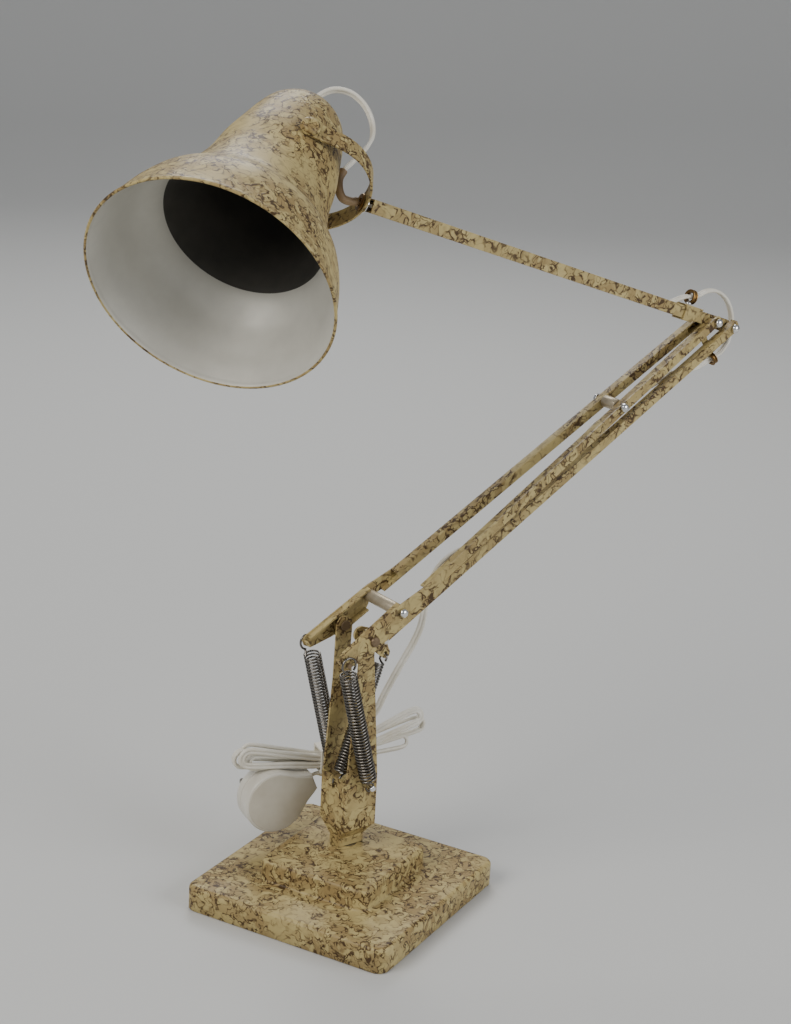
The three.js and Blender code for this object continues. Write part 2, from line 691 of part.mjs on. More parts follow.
function shade() {
  const outer = SHADE_PROFILE.map(([r, h]) => [r, h - MOUTH_BEHIND]);
  const top = SHADE_TOP - MOUTH_BEHIND;
  const hole = GLAND.body + GAP;
  const inner = outer.map(([r, h]) => [r - SHADE_WALL, h > 45 ? h - SHADE_WALL : h]).reverse();
  const points = [...outer, [hole, top], [hole, top - SHADE_WALL - 0.4], ...inner];
  points.push(outer[0]);
  return turned(points, 40);
}

function cordGland() {
  const top = SHADE_TOP - MOUTH_BEHIND;
  const under = top - SHADE_WALL - 1.5;
  return turned([
    [GLAND.bore, under],
    [GLAND.body, under],
    [GLAND.body, top + GAP],
    [GLAND.flange, top + GAP],
    [GLAND.body, top + 4],
    [GLAND.bore, top + 5],
    [GLAND.bore, under],
  ]);
}

function lampholder() {
  const top = SHADE_TOP - MOUTH_BEHIND - 9;
  const mouth = top - 52;
  return turned([
    [15.5, mouth],
    [18, mouth],
    [18, mouth + 22],
    [15, mouth + 25],
    [14, top - 12],
    [9, top],
    [0, top],
    [0, top - 8],
    [11, top - 18],
    [13.5, mouth + 20],
    [15.5, mouth],
  ], 24);
}

// Shade carrier: the ring that clamps the lampholder in the neck of the shade.
function carrier() {
  const z = SHADE_TOP - MOUTH_BEHIND - 34;
  return washerRing(18 + GAP, 30, z, z + 2, 32);
}

part(shadeFrame, "shade", shade(), PAINT);
part(shadeFrame, "cord_gland", cordGland(), BRASS);
part(shadeFrame, "lampholder", lampholder(), HOLDER_LOOK);
part(shadeFrame, "holder_ring", carrier(), HOLDER_LOOK);

// ---------- cord ----------

const HEAD_LOOP = [
  [-14.2, 50.3, 521],
  [-7.5, 54.2, 525],
  [1.5, 52, 528.6],
  [9.5, 45.5, 527.4],
  [15, 38, 521],
  [16.2, 30.5, 511.5],
  [11, 22.5, 502.5],
  [0.5, 16.5, 496],
  [-10.4, 12.6, 490.6],
  [-18, 9.75, 487.1],
];
const SLEEVE = [
  [-18.6, 9.5, 486.7],
  [-22.8, 8, 482.4],
  [-24.7, 5.3, 476.6],
  [-23.4, 3.2, 471.4],
  [-18.6, 2.2, 469.2],
  [-13.4, 1.1, 469.1],
];
part(lamp, "cord_head_loop", cordAlong(HEAD_LOOP, FLEX, 18), FLEX_LOOK);
part(lamp, "cord_sleeve", cordAlong(SLEEVE, FLEX, 14), SLEEVE_LOOK);

// Inside the upper arm, in the arm's frame: from the eyelet to the upper guide ring.
const ARM_RUN = [
  [-UPPER_LENGTH + 1, 0, 0],
  [-240, 0, -0.6],
  [-150, 0, -0.6],
  [-80, 0, -0.4],
  [-56, 0, -0.2],
  [-46, 0, 1.4],
  [-38, 0, 6],
  [-31, 0, 10],
  [-26.9, 0, RING_HIGH.z],
];
part(upperArm, "cord_arm_run", cordAlong(ARM_RUN, FLEX, 26), FLEX_LOOK);

const ringHigh = new THREE.Vector3(RING_HIGH.x, 0, RING_HIGH.z).applyEuler(upperArm.rotation).add(elbow);
const ringLow = lowerPoint(RING_LOW.s, RING_LOW.y, RING_LOW.n);
const ELBOW_LOOP = [
  [ringHigh.x - 1.6, 0, ringHigh.z + 0.3],
  [283.5, 0, 382.5],
  [291.5, 0, 384.8],
  [300, 0, 384.6],
  [308.8, 0, 380.4],
  [315.6, 0, 373],
  [319.4, 0, 364],
  [319.4, -0.4, 354],
  [315.8, -1.6, 345.5],
  [308, -3.4, 339.6],
  [ringLow.x + 1.7, ringLow.y, ringLow.z + 0.5],
];
part(lamp, "cord_elbow_loop", cordAlong(ELBOW_LOOP, FLEX, 24), FLEX_LOOK);

// Along the right rail, in the lower arm's frame: from the lower guide ring into the channel and out again.
const channelY = (s) => -(railFace(s) - RAIL.wall - FLEX - 0.4);
const RAIL_RUN = [
  [RING_LOW.s + 1, RING_LOW.y, RING_LOW.n],
  [322, -4.2, -21.6],
  [311, -3.8, -17],
  [299, -3.4, -12],
  [285, -3, -8],
  [268, -2.8, -5.6],
  [246, -2.8, -5.2],
  [234, -3, -3],
  [224, -4.4, 0.6],
  [214, -8, 1.4],
  [202, channelY(202), 1.2],
  [186, channelY(186), 1.2],
  [150, channelY(150), 1.2],
  [105, channelY(105), 1.2],
  [92, -12.2, 1.4],
  [82, -8, 1.1],
  [74, -4.6, -1.6],
  [66, -3, -6],
  [59.5, -2.3, -11.2],
  [54.6, -2, -16.6],
];
part(lowerArm, "cord_rail_run", cordAlong(RAIL_RUN, FLEX, 46), FLEX_LOOK);

const railExit = lowerPoint(54.6, -2, -16.6);
const DROP = [
  [railExit.x - 0.25, railExit.y + 0.05, railExit.z - 0.4],
  [54.5, -1.2, 187],
  [54, 1, 177],
  [51, 4.2, 165],
  [45.5, 8, 151],
  [40.5, 12, 137],
  [37, 15.6, 125],
  [34.2, 19, 114],
  [31, 24.2, 105.4],
  [28.4, 28.6, 99.6],
  [27.6, 30.4, 95.6],
];
part(lamp, "cord_drop", cordAlong(DROP, FLEX, 26), FLEX_LOOK);

// The tied hank, in an upright plane behind the fork.
const HANK_MIDDLE = new THREE.Vector3(4.4, 36.3, 79);
const HANK_TURN = -13.75 * DEG;
const HANK = { half: 5.5, left: { u: -57, z: 10, r: 8.6 }, right: { u: 64.5, z: 15.5, r: 11 }, waist: 5 };

function hank() {
  const shape = new THREE.Shape();
  const { left, right, waist } = HANK;
  shape.moveTo(2, waist);
  shape.lineTo(-2, waist);
  shape.absarc(left.u, left.z, left.r, 95 * DEG, 270 * DEG, false);
  shape.lineTo(-2, -waist);
  shape.lineTo(2, -waist);
  shape.absarc(right.u, right.z, right.r, 285 * DEG, 460 * DEG, false);
  return plate(shape, -HANK.half, HANK.half);
}

function cordTie() {
  const options = { depth: 9, bevelEnabled: false };
  const [w, h] = [HANK.half, HANK.waist];
  const outer = outline([[-w - 2, -h - 3], [w + 2, -h - 3], [w + 2, h + 4], [-w - 2, h + 4]]);
  outer.holes.push(outline([[-w - 0.4, -h - 1.3], [w + 0.4, -h - 1.3], [w + 0.4, h + 2.4], [-w - 0.4, h + 2.4]]));
  return new THREE.ExtrudeGeometry(outer, options).rotateX(Math.PI / 2).rotateZ(Math.PI / 2).translate(-4.5, 0, 0);
}

const hankFrame = groupAt(lamp, HANK_MIDDLE);
hankFrame.rotation.z = HANK_TURN;
part(hankFrame, "cord_hank", hank(), FLEX_LOOK);
part(hankFrame, "cord_tie", cordTie(), SLEEVE_LOOK);

// The plug stands on its rim on the upper tier.
const PLUG_FACE = new THREE.Vector3(-34, 34, 55.6);
const PLUG_TURN = -11 * DEG;
const PLUG = { radius: 22, depth: 20, neck: 30, neckTilt: 22 * DEG };
const plugFrame = groupAt(lamp, PLUG_FACE);
plugFrame.rotation.z = PLUG_TURN;

function plug() {
  const shape = new THREE.Shape();
  const tip = [PLUG.neck * Math.cos(PLUG.neckTilt), PLUG.neck * Math.sin(PLUG.neckTilt)];
  shape.absarc(0, 0, PLUG.radius, PLUG.neckTilt + 62 * DEG, PLUG.neckTilt - 62 * DEG + 2 * Math.PI, false);
  const side = [Math.sin(PLUG.neckTilt) * 6, -Math.cos(PLUG.neckTilt) * 6];
  shape.lineTo(tip[0] + side[0], tip[1] + side[1]);
  shape.lineTo(tip[0] - side[0], tip[1] - side[1]);
  const body = plate(shape, 0, PLUG.depth);
  const shoulder = rodY(PLUG.radius - 3, PLUG.depth - 1, PLUG.depth + 2, 0, 0, 28);
  const pins = [-1, 1].map((way) => rodY(2.4, PLUG.depth, PLUG.depth + 21, way * 9.5, 0, 12));
  return join(body, shoulder, ...pins);
}

part(plugFrame, "plug", plug(), PLUG_LOOK);

const neckEnd = new THREE.Vector3(
  (PLUG.neck + 2 * GAP) * Math.cos(PLUG.neckTilt),
  PLUG.depth / 2,
  (PLUG.neck + 2 * GAP) * Math.sin(PLUG.neckTilt),
).applyEuler(plugFrame.rotation).add(PLUG_FACE);
const TAIL = [
  [21, 32.4, 74.8],
  [19, 33, 70.2],
  [12.5, 34.6, 66.6],
  [5, 36, 65],
  [neckEnd.x + 5, neckEnd.y - 0.7, neckEnd.z + 1],
  neckEnd.toArray(),
];
part(lamp, "cord_tail", cordAlong(TAIL, FLEX, 14), FLEX_LOOK);

export default lamp;
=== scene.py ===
"""Architect desk lamp: fine surfaces, cord, materials and studio. Metres, +Z up.

Points, profiles and widths are written in millimetres and scaled where they are placed."""

import json
import math

import bmesh
import bpy
from mathutils import Matrix, Vector


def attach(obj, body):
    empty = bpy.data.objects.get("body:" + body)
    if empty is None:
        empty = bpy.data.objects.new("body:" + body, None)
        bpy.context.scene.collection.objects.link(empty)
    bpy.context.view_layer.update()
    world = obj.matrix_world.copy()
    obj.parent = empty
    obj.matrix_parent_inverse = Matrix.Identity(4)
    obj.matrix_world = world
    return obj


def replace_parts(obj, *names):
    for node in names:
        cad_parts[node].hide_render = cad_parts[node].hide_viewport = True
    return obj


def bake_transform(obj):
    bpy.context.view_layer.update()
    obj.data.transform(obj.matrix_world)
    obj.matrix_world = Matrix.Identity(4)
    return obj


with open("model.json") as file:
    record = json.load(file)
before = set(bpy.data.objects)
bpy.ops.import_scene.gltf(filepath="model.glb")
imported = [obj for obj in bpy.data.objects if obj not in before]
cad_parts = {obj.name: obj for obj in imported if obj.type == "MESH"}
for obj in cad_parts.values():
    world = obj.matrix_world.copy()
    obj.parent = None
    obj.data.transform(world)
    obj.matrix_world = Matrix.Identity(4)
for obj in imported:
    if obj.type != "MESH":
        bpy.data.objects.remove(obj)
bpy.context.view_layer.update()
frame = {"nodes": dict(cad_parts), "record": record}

MM = 0.001
DEG = math.pi / 180
UP = Vector((0, 0, 1))
SIDE = Vector((0, 1, 0))

joints = {joint["name"]: joint for joint in frame["record"]["behaviour"]["joints"]}


def joint_at(name):
    return Vector(joints[name]["pos_m"])


def frame_at(origin, x_axis, z_axis):
    z = z_axis.normalized()
    x = (x_axis - x_axis.dot(z) * z).normalized()
    placed = Matrix((x, z.cross(x), z)).transposed().to_4x4()
    placed.translation = origin
    return placed


def set_out(place, point=(0, 0, 0), angle=0, axis="X"):
    """A frame moved to a point in millimetres, then turned by degrees about one of its own axes."""
    return place @ Matrix.Translation(Vector(point) * MM) @ Matrix.Rotation(angle * DEG, 4, axis)


def heading(angle):
    """The level direction that many degrees clockwise from +X."""
    return Vector((math.cos(angle * DEG), -math.sin(angle * DEG), 0))


PIVOT = joint_at("shoulder")
ELBOW = joint_at("elbow")
HEAD = joint_at("head_swivel")
TILT = joint_at("tilt")
ALONG_LOWER = (ELBOW - PIVOT).normalized()
ALONG_UPPER = (ELBOW - HEAD).normalized()
LOWER = frame_at(PIVOT, ALONG_LOWER, ALONG_LOWER.cross(SIDE))
UPPER = frame_at(ELBOW, ALONG_UPPER, ALONG_UPPER.cross(SIDE))
CRANK = frame_at(PIVOT, ALONG_UPPER, ALONG_UPPER.cross(SIDE))
LOWER_LENGTH = (ELBOW - PIVOT).length / MM
UPPER_LENGTH = 319.6
OFFSET = (joint_at("link_pivot") - PIVOT).length / MM


# ---------- camera ----------

CAMERA_AT = (-0.77235, -1.03954, 0.7025)
CAMERA_FORWARD = Vector((0.5782, 0.7516, -0.3174))
CAMERA_UP = Vector((0.1514, 0.2834, 0.947))
SENSOR_WIDTH = 36
FOCAL_LENGTH = 97.05


def add_camera():
    data = bpy.data.cameras.new("camera")
    data.sensor_fit = "HORIZONTAL"
    data.sensor_width = SENSOR_WIDTH
    data.lens = FOCAL_LENGTH
    camera = bpy.data.objects.new("camera", data)
    camera.matrix_world = frame_at(Vector(CAMERA_AT), CAMERA_FORWARD.cross(CAMERA_UP), -CAMERA_FORWARD)
    bpy.context.scene.collection.objects.link(camera)
    bpy.context.scene.camera = camera


add_camera()


# ---------- materials ----------

class Shader:
    """A Principled material and the nodes that feed it."""

    def __init__(self, name, color=(0.5, 0.5, 0.5), roughness=0.5, metallic=0.0, coat=0.0):
        self.material = bpy.data.materials.new(name)
        self.material.use_nodes = True
        self.tree = self.material.node_tree
        self.bsdf = next(node for node in self.tree.nodes if node.type == "BSDF_PRINCIPLED")
        self.set("Base Color", (*color, 1))
        self.set("Roughness", roughness)
        self.set("Metallic", metallic)
        self.set("Coat Weight", coat)
        self.place = self.node("ShaderNodeTexCoord").outputs["Object"]

    def set(self, socket, value):
        self.bsdf.inputs[socket].default_value = value

    def feed(self, socket, output):
        self.tree.links.new(output, self.bsdf.inputs[socket])

    def node(self, kind, inputs=None, **settings):
        made = self.tree.nodes.new(kind)
        for key, value in settings.items():
            setattr(made, key, value)
        for key, value in (inputs or {}).items():
            if isinstance(value, bpy.types.NodeSocket):
                self.tree.links.new(value, made.inputs[key])
            else:
                made.inputs[key].default_value = value
        return made

    def noise(self, scale, detail=2.0, roughness=0.5, vector=None):
        """A noise field's value."""
        return self.noise_node(scale, detail, roughness, vector or self.place).outputs["Fac"]

    def noise_node(self, scale, detail, roughness, vector):
        inputs = {"Vector": vector, "Scale": scale, "Detail": detail, "Roughness": roughness}
        return self.node("ShaderNodeTexNoise", inputs)

    def math(self, operation, a, b=0.0):
        return self.node("ShaderNodeMath", {0: a, 1: b}, operation=operation).outputs[0]

    def multiply(self, a, b):
        return self.math("MULTIPLY", a, b)

    def span(self, value, low, high, to_low=0.0, to_high=1.0):
        """A value mapped from one range to another, held inside it."""
        inputs = {"Value": value, "From Min": low, "From Max": high, "To Min": to_low, "To Max": to_high}
        return self.node("ShaderNodeMapRange", inputs, clamp=True).outputs[0]

    def mix(self, factor, a, b):
        a = a if isinstance(a, bpy.types.NodeSocket) else (*a, 1)
        b = b if isinstance(b, bpy.types.NodeSocket) else (*b, 1)
        return self.node("ShaderNodeMix", {0: factor, 6: a, 7: b}, data_type="RGBA").outputs[2]

    def stretched(self, scale, offset=(0, 0, 0), vector=None):
        """The object's coordinates scaled, then shifted."""
        inputs = {"Vector": vector or self.place, "Scale": scale, "Location": offset}
        return self.node("ShaderNodeMapping", inputs).outputs[0]

    def warped(self, vector, scale, amount):
        """Coordinates pushed about by a noise field, by up to half the amount each way."""
        color = self.noise_node(scale, 2, 0.5, vector).outputs["Color"]
        centred = self.node("ShaderNodeVectorMath", {0: color, 1: (0.5, 0.5, 0.5)}, operation="SUBTRACT")
        push = {0: centred.outputs[0], "Scale": amount}
        scaled = self.node("ShaderNodeVectorMath", push, operation="SCALE")
        added = self.node("ShaderNodeVectorMath", {0: vector, 1: scaled.outputs[0]}, operation="ADD")
        return added.outputs[0]

    def cloudy_roughness(self, scale, low, high):
        self.feed("Roughness", self.span(self.noise(scale, 3, 0.6), 0.3, 0.7, low, high))

    def bump(self, height, strength, distance):
        inputs = {"Height": height, "Strength": strength, "Distance": distance}
        self.feed("Normal", self.node("ShaderNodeBump", inputs).outputs[0])


def veins(shader, vector, scale, width):
    """Thin worm-like lines where a noise field crosses its middle value."""
    field = shader.noise(scale, 1, 0.4, vector)
    distance = shader.math("ABSOLUTE", shader.math("SUBTRACT", field, 0.5))
    return shader.span(distance, width * 0.45, width, 1, 0)


CREAM = (0.53, 0.425, 0.185)
DULL_CREAM = (0.43, 0.33, 0.13)
SMEAR_BROWN = (0.31, 0.215, 0.085)
VEIN_BROWN = (0.07, 0.038, 0.013)
COARSE_VEINS = (170, 0.052)
FINE_VEINS = (290, 0.05)
FINE_SHIFT = (0.37, 0.21, 0.55)


def marbled_paint(name, stretch=(1, 1, 1)):
    """Cream stove enamel with scumbled brown veins that crowd in clumps and thin out between them."""
    shader = Shader(name, roughness=0.45, coat=0.06)
    shader.set("Coat Roughness", 0.14)
    shader.set("Specular IOR Level", 0.26)
    place = shader.warped(shader.stretched(stretch), 95, 0.009)
    place = shader.warped(place, 260, 0.0022)
    other = shader.stretched((1, 1, 1), FINE_SHIFT, place)
    clumps = shader.noise(42, 2, 0.55, place)
    coarse = shader.multiply(veins(shader, place, *COARSE_VEINS), shader.span(clumps, 0.34, 0.46, 0.3, 1))
    fine = shader.multiply(veins(shader, other, *FINE_VEINS), shader.span(clumps, 0.4, 0.52, 0.1, 1))
    broken = shader.span(shader.noise(240, 1, 0.5, other), 0.4, 0.54, 0.15, 1)
    lines = shader.multiply(shader.math("MAXIMUM", coarse, fine), broken)
    halo = shader.span(shader.noise(170, 1, 0.4, place), 0.36, 0.52)
    smear = shader.multiply(halo, shader.span(clumps, 0.36, 0.6, 0.15, 0.9))
    patches = shader.span(shader.noise(24, 3, 0.6), 0.36, 0.66, 0, 0.6)
    ground = shader.mix(smear, shader.mix(patches, CREAM, DULL_CREAM), SMEAR_BROWN)
    shader.feed("Base Color", shader.mix(lines, ground, VEIN_BROWN))
    peel = shader.noise(1100, 2, 0.5)
    height = shader.math("ADD", shader.multiply(peel, 0.25), shader.multiply(lines, 0.9))
    shader.bump(height, 0.3, 0.0004)
    shader.cloudy_roughness(60, 0.42, 0.58)
    return shader.material


def silver_lining():
    """Aluminium paint inside the shade: satin, clouded, with age spots."""
    shader = Shader("silver_lining", (0.6, 0.59, 0.54), 0.45, 0.3)
    grey = shader.mix(shader.noise(35, 4, 0.6), (0.5, 0.485, 0.43), (0.68, 0.665, 0.6))
    shifted = shader.stretched((1, 1, 1), (0.9, 0.1, 0.4))
    spots = shader.span(shader.noise(120, 2, 0.5, shifted), 0.76, 0.8)
    shader.feed("Base Color", shader.mix(shader.multiply(spots, 0.8), grey, (0.16, 0.07, 0.04)))
    shader.bump(shader.noise(900, 3, 0.6), 0.12, 0.0002)
    shader.cloudy_roughness(50, 0.46, 0.6)
    return shader.material


def metal(name, color, roughness, spread, grime=(0.02, 0.017, 0.013), dirt=0.25, metallic=1.0):
    """Metal with cloudy roughness, fine scratches and grime in patches."""
    shader = Shader(name, color, roughness, metallic)
    clouds = shader.noise(140, 4, 0.65)
    scratches = shader.noise(900, 3, 0.7, shader.stretched((1, 1, 0.12)))
    tint = shader.multiply(shader.span(clouds, 0.45, 0.75), dirt)
    shader.feed("Base Color", shader.mix(tint, color, grime))
    rough = shader.math("ADD", shader.multiply(clouds, spread), roughness - spread / 2)
    shader.feed("Roughness", rough)
    shader.bump(scratches, 0.08, 0.0001)
    return shader.material


def plastic(name, color, shade, roughness, coat=0.1, grain=700, ridge=0.1):
    """Moulded plastic with slight yellowing in patches and a fine moulded grain."""
    shader = Shader(name, color, roughness, 0, coat)
    patches = shader.span(shader.noise(40, 3, 0.6), 0.35, 0.7)
    specks = shader.span(shader.noise(420, 2, 0.6), 0.6, 0.75, 0, 0.35)
    shader.feed("Base Color", shader.mix(shader.math("MAXIMUM", patches, specks), color, shade))
    shader.bump(shader.noise(grain, 3, 0.6), ridge, 0.0002)
    shader.feed("Roughness", shader.span(shader.noise(90), 0.3, 0.7, roughness, roughness + 0.14))
    return shader.material


def felt():
    shader = Shader("felt", (0.035, 0.05, 0.035), 0.95)
    shader.set("Sheen Weight", 0.4)
    fibres = shader.noise(1600, 4, 0.8, shader.warped(shader.place, 400, 0.002))
    shader.feed("Base Color", shader.mix(fibres, (0.02, 0.03, 0.02), (0.07, 0.095, 0.065)))
    shader.bump(fibres, 0.8, 0.0006)
    return shader.material


def cast_iron():
    shader = Shader("cast_iron", (0.05, 0.05, 0.05), 0.75, 0.7)
    pits = shader.noise(500, 5, 0.7)
    shader.feed("Base Color", shader.mix(pits, (0.02, 0.018, 0.016), (0.1, 0.09, 0.08)))
    shader.bump(pits, 0.6, 0.0006)
    return shader.material


PAINT = marbled_paint("cream_paint")
ARM_PAINT = marbled_paint("arm_paint", (0.8, 1, 0.8))
SHADE_PAINT = marbled_paint("shade_paint")
LINING = silver_lining()
# Near-black painted shade for the inside of the shade's neck, where the deep shade falls.
NECK_PAINTED_SHADE = plastic("neck_painted_shade", (0.035, 0.033, 0.028), (0.055, 0.05, 0.042), 0.6, 0, 600, 0.15)
CHROME = metal("chrome", (0.78, 0.78, 0.77), 0.12, 0.08)
STEEL = metal("steel", (0.36, 0.33, 0.29), 0.38, 0.2)
SPRING_STEEL = metal("spring_steel", (0.2, 0.185, 0.165), 0.27, 0.14, dirt=0.4)
SPACER_METAL = metal("spacer_metal", (0.5, 0.43, 0.31), 0.42, 0.14, (0.2, 0.15, 0.08), 0.5, 0.6)
BRASS = metal("brass", (0.22, 0.13, 0.045), 0.36, 0.2, (0.06, 0.035, 0.015), 0.6)
PIN_BROWN = metal("pin_brown", (0.2, 0.14, 0.08), 0.42, 0.2, (0.06, 0.035, 0.015), 0.5, 0.6)
NICKEL = metal("nickel", (0.55, 0.52, 0.46), 0.25, 0.15)
FLEX_WHITE = plastic("flex_white", (0.78, 0.755, 0.67), (0.68, 0.63, 0.51), 0.36)
SLEEVE_BROWN = plastic("sleeve_brown", (0.3, 0.2, 0.1), (0.18, 0.11, 0.05), 0.5, 0, 500, 0.2)
PLUG_IVORY = plastic("plug_ivory", (0.6, 0.565, 0.47), (0.5, 0.455, 0.36), 0.36)
PLUG_RIM = plastic("plug_rim", (0.72, 0.7, 0.63), (0.62, 0.58, 0.49), 0.32)
BAKELITE = plastic("bakelite", (0.014, 0.012, 0.01), (0.03, 0.022, 0.016), 0.26, 0.3)
FELT = felt()
IRON = cast_iron()


# ---------- mesh helpers ----------

SMOOTH_BELOW = 38


def piece(name, verts, faces, material, smooth_below=SMOOTH_BELOW):
    mesh = bpy.data.meshes.new(name)
    mesh.from_pydata([tuple(v) for v in verts], [], faces)
    made = bpy.data.objects.new(name, mesh)
    bpy.context.scene.collection.objects.link(made)
    finish_mesh(made, smooth_below)
    made.data.materials.append(material)
    return made


def finish_mesh(made, smooth_below):
    soft = bmesh.new()
    soft.from_mesh(made.data)
    bmesh.ops.recalc_face_normals(soft, faces=soft.faces)
    soft.to_mesh(made.data)
    soft.free()
    made.data.polygons.foreach_set("use_smooth", [True] * len(made.data.polygons))
    made.data.set_sharp_from_angle(angle=smooth_below * DEG)


def bevel(made, width, segments=3, angle=35):
    """Rounds the edges that are sharper than the angle; width in millimetres."""
    modifier = made.modifiers.new("rounded_edges", "BEVEL")
    modifier.width = width * MM
    modifier.segments = segments
    modifier.limit_method = "ANGLE"
    modifier.angle_limit = angle * DEG
    modifier.harden_normals = True
    return made


def belongs(made, body, slot, *nodes):
    """Puts a piece on its body in place of the CAD nodes named. The slot is not used."""
    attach(made, body)
    if nodes:
        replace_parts(made, *nodes)
    return made


def rings(name, loops, material, closed=False, smooth_below=SMOOTH_BELOW):
    """A skin over loops of equal size; its two ends are capped, or joined to each other when closed."""
    count = len(loops[0])
    verts = [v for loop in loops for v in loop]
    faces = []
    spans = len(loops) if closed else len(loops) - 1
    for i in range(spans):
        a, b = i * count, ((i + 1) % len(loops)) * count
        for k in range(count):
            n = (k + 1) % count
            faces.append((a + k, a + n, b + n, b + k))
    if not closed:
        faces.append(tuple(reversed(range(count))))
        faces.append(tuple(range(len(verts) - count, len(verts))))
    return piece(name, verts, faces, material, smooth_below)


def lathe(name, profile, place, material, sides=64, smooth_below=SMOOTH_BELOW):
    """A solid of revolution about the local Z of place, from [radius, height] points in millimetres.
    A profile that starts and ends on the axis is a solid; any other closes on itself."""
    on_axis = profile[0][0] == 0
    inner = profile[1:-1] if on_axis else profile
    turn = [2 * math.pi * k / sides for k in range(sides)]
    loops = []
    for radius, height in inner:
        points = [Vector((radius * math.cos(a), radius * math.sin(a), height)) for a in turn]
        loops.append([place @ (point * MM) for point in points])
    if not on_axis:
        return rings(name, loops, material, closed=True, smooth_below=smooth_below)
    verts = [v for loop in loops for v in loop]
    faces = []
    for i in range(len(loops) - 1):
        for k in range(sides):
            n = (k + 1) % sides
            faces.append((i * sides + k, i * sides + n, (i + 1) * sides + n, (i + 1) * sides + k))
    for height, first, flip in ((profile[0][1], 0, True), (profile[-1][1], len(verts) - sides, False)):
        tip = len(verts)
        verts.append(place @ Vector((0, 0, height * MM)))
        for k in range(sides):
            edge = (first + k, first + (k + 1) % sides)
            faces.append((*(reversed(edge) if flip else edge), tip))
    return piece(name, verts, faces, material, smooth_below)


def turned(name, profile, place, material, sides, body, slot, *nodes):
    """A solid of revolution put on its body."""
    return belongs(lathe(name, profile, place, material, sides), body, slot, *nodes)


WELD = 2e-6
FLAT_WITHIN = 0.6 * DEG


def refined(node, material, width, body, slot, segments=3):
    """The CAD node's own shape with its flat faces merged and its edges rounded."""
    source = frame["nodes"][node]
    made = bpy.data.objects.new(f"{node}_finish", source.data.copy())
    made.data.materials.clear()
    made.data.materials.append(material)
    bpy.context.scene.collection.objects.link(made)
    shape = bmesh.new()
    shape.from_mesh(made.data)
    bmesh.ops.remove_doubles(shape, verts=shape.verts, dist=WELD)
    bmesh.ops.dissolve_limit(shape, angle_limit=FLAT_WITHIN, verts=shape.verts, edges=shape.edges)
    for face in shape.faces:
        face.material_index = 0
    shape.to_mesh(made.data)
    shape.free()
    finish_mesh(made, SMOOTH_BELOW)
    return belongs(bevel(made, width, segments), body, slot, node)


def smooth_path(points, per_span=6):
    """Points on a centripetal Catmull-Rom curve through the given ones."""
    ends = [points[0] * 2 - points[1], *points, points[-1] * 2 - points[-2]]
    curve = [points[0].copy()]
    for p0, p1, p2, p3 in zip(ends, ends[1:], ends[2:], ends[3:]):
        knots = [0.0]
        for a, b in ((p0, p1), (p1, p2), (p2, p3)):
            knots.append(knots[-1] + max((b - a).length, 1e-7) ** 0.5)
        t0, t1, t2, t3 = knots
        for step in range(1, per_span + 1):
            t = t1 + (t2 - t1) * step / per_span
            a1 = p0 * ((t1 - t) / (t1 - t0)) + p1 * ((t - t0) / (t1 - t0))
            a2 = p1 * ((t2 - t) / (t2 - t1)) + p2 * ((t - t1) / (t2 - t1))
            a3 = p2 * ((t3 - t) / (t3 - t2)) + p3 * ((t - t2) / (t3 - t2))
            b1 = a1 * ((t2 - t) / (t2 - t0)) + a2 * ((t - t0) / (t2 - t0))
            b2 = a2 * ((t3 - t) / (t3 - t1)) + a3 * ((t - t1) / (t3 - t1))
            curve.append(b1 * ((t2 - t) / (t2 - t1)) + b2 * ((t - t1) / (t2 - t1)))
    return curve


def in_metres(points, place=None):
    moved = [Vector(point) * MM for point in points]
    return [place @ point for point in moved] if place else moved


def direction(path, i):
    return (path[min(i + 1, len(path) - 1)] - path[max(i - 1, 0)]).normalized()


def swept(name, path, section, material, sides):
    """A section of (across, up) points swept along the path, with one across direction for each point."""
    loops = []
    for i, point in enumerate(path):
        across = sides[i]
        lift = direction(path, i).cross(across)
        loops.append([point + across * x + lift * y for x, y in section])
    return rings(name, loops, material, smooth_below=80)


def carried_sides(path, first):
    """Across directions carried along the path without twist, from a first one."""
    sides = []
    across = first
    for i in range(len(path)):
        ahead = direction(path, i)
        across = (across - across.dot(ahead) * ahead).normalized()
        sides.append(across.copy())
    return sides


def circle_section(radius, sides=12):
    turn = [2 * math.pi * k / sides for k in range(sides)]
    return [(radius * MM * math.cos(a), radius * MM * math.sin(a)) for a in turn]


FLEX = {"strand": 1.3, "spread": 1.22, "waist": 158 * DEG}


def flex_section():
    """Two round strands moulded side by side."""
    steps = 8
    points = []
    for side in (1, -1):
        for k in range(steps):
            angle = FLEX["waist"] * (2 * k / (steps - 1) - 1)
            x = side * (FLEX["spread"] + FLEX["strand"] * math.cos(angle))
            points.append((x * MM, side * FLEX["strand"] * math.sin(angle) * MM))
    return points


def flex(name, path, first_side):
    return swept(name, path, flex_section(), FLEX_WHITE, carried_sides(path, first_side))


# ---------- cord ----------

HEAD_LOOP = [
    (-14.2, 50.3, 521), (-7.5, 54.2, 525), (1.5, 52, 528.6), (9.5, 45.5, 527.4), (15, 38, 521),
    (16.2, 30.5, 511.5), (11, 22.5, 502.5), (0.5, 16.5, 496), (-10.4, 12.6, 490.6), (-18, 9.75, 487.1),
]
SLEEVE = [
    (-18.6, 9.5, 486.7), (-22.8, 8, 482.4), (-24.7, 5.3, 476.6),
    (-23.4, 3.2, 471.4), (-18.6, 2.2, 469.2), (-13.4, 1.1, 469.1),
]
SLEEVE_RADIUS = 2.65
RING_HIGH = (-24.7, 0, 11.3)
ARM_RUN = [
    (1 - UPPER_LENGTH, 0, 0), (-240, 0, -0.6), (-150, 0, -0.6), (-80, 0, -0.4), (-56, 0, -0.2),
    (-46, 0, 1.4), (-38, 0, 6), (-31, 0, 10), (-26.9, 0, 11.3),
]
RING_LOW = (333.8, -4.6, -23.6)
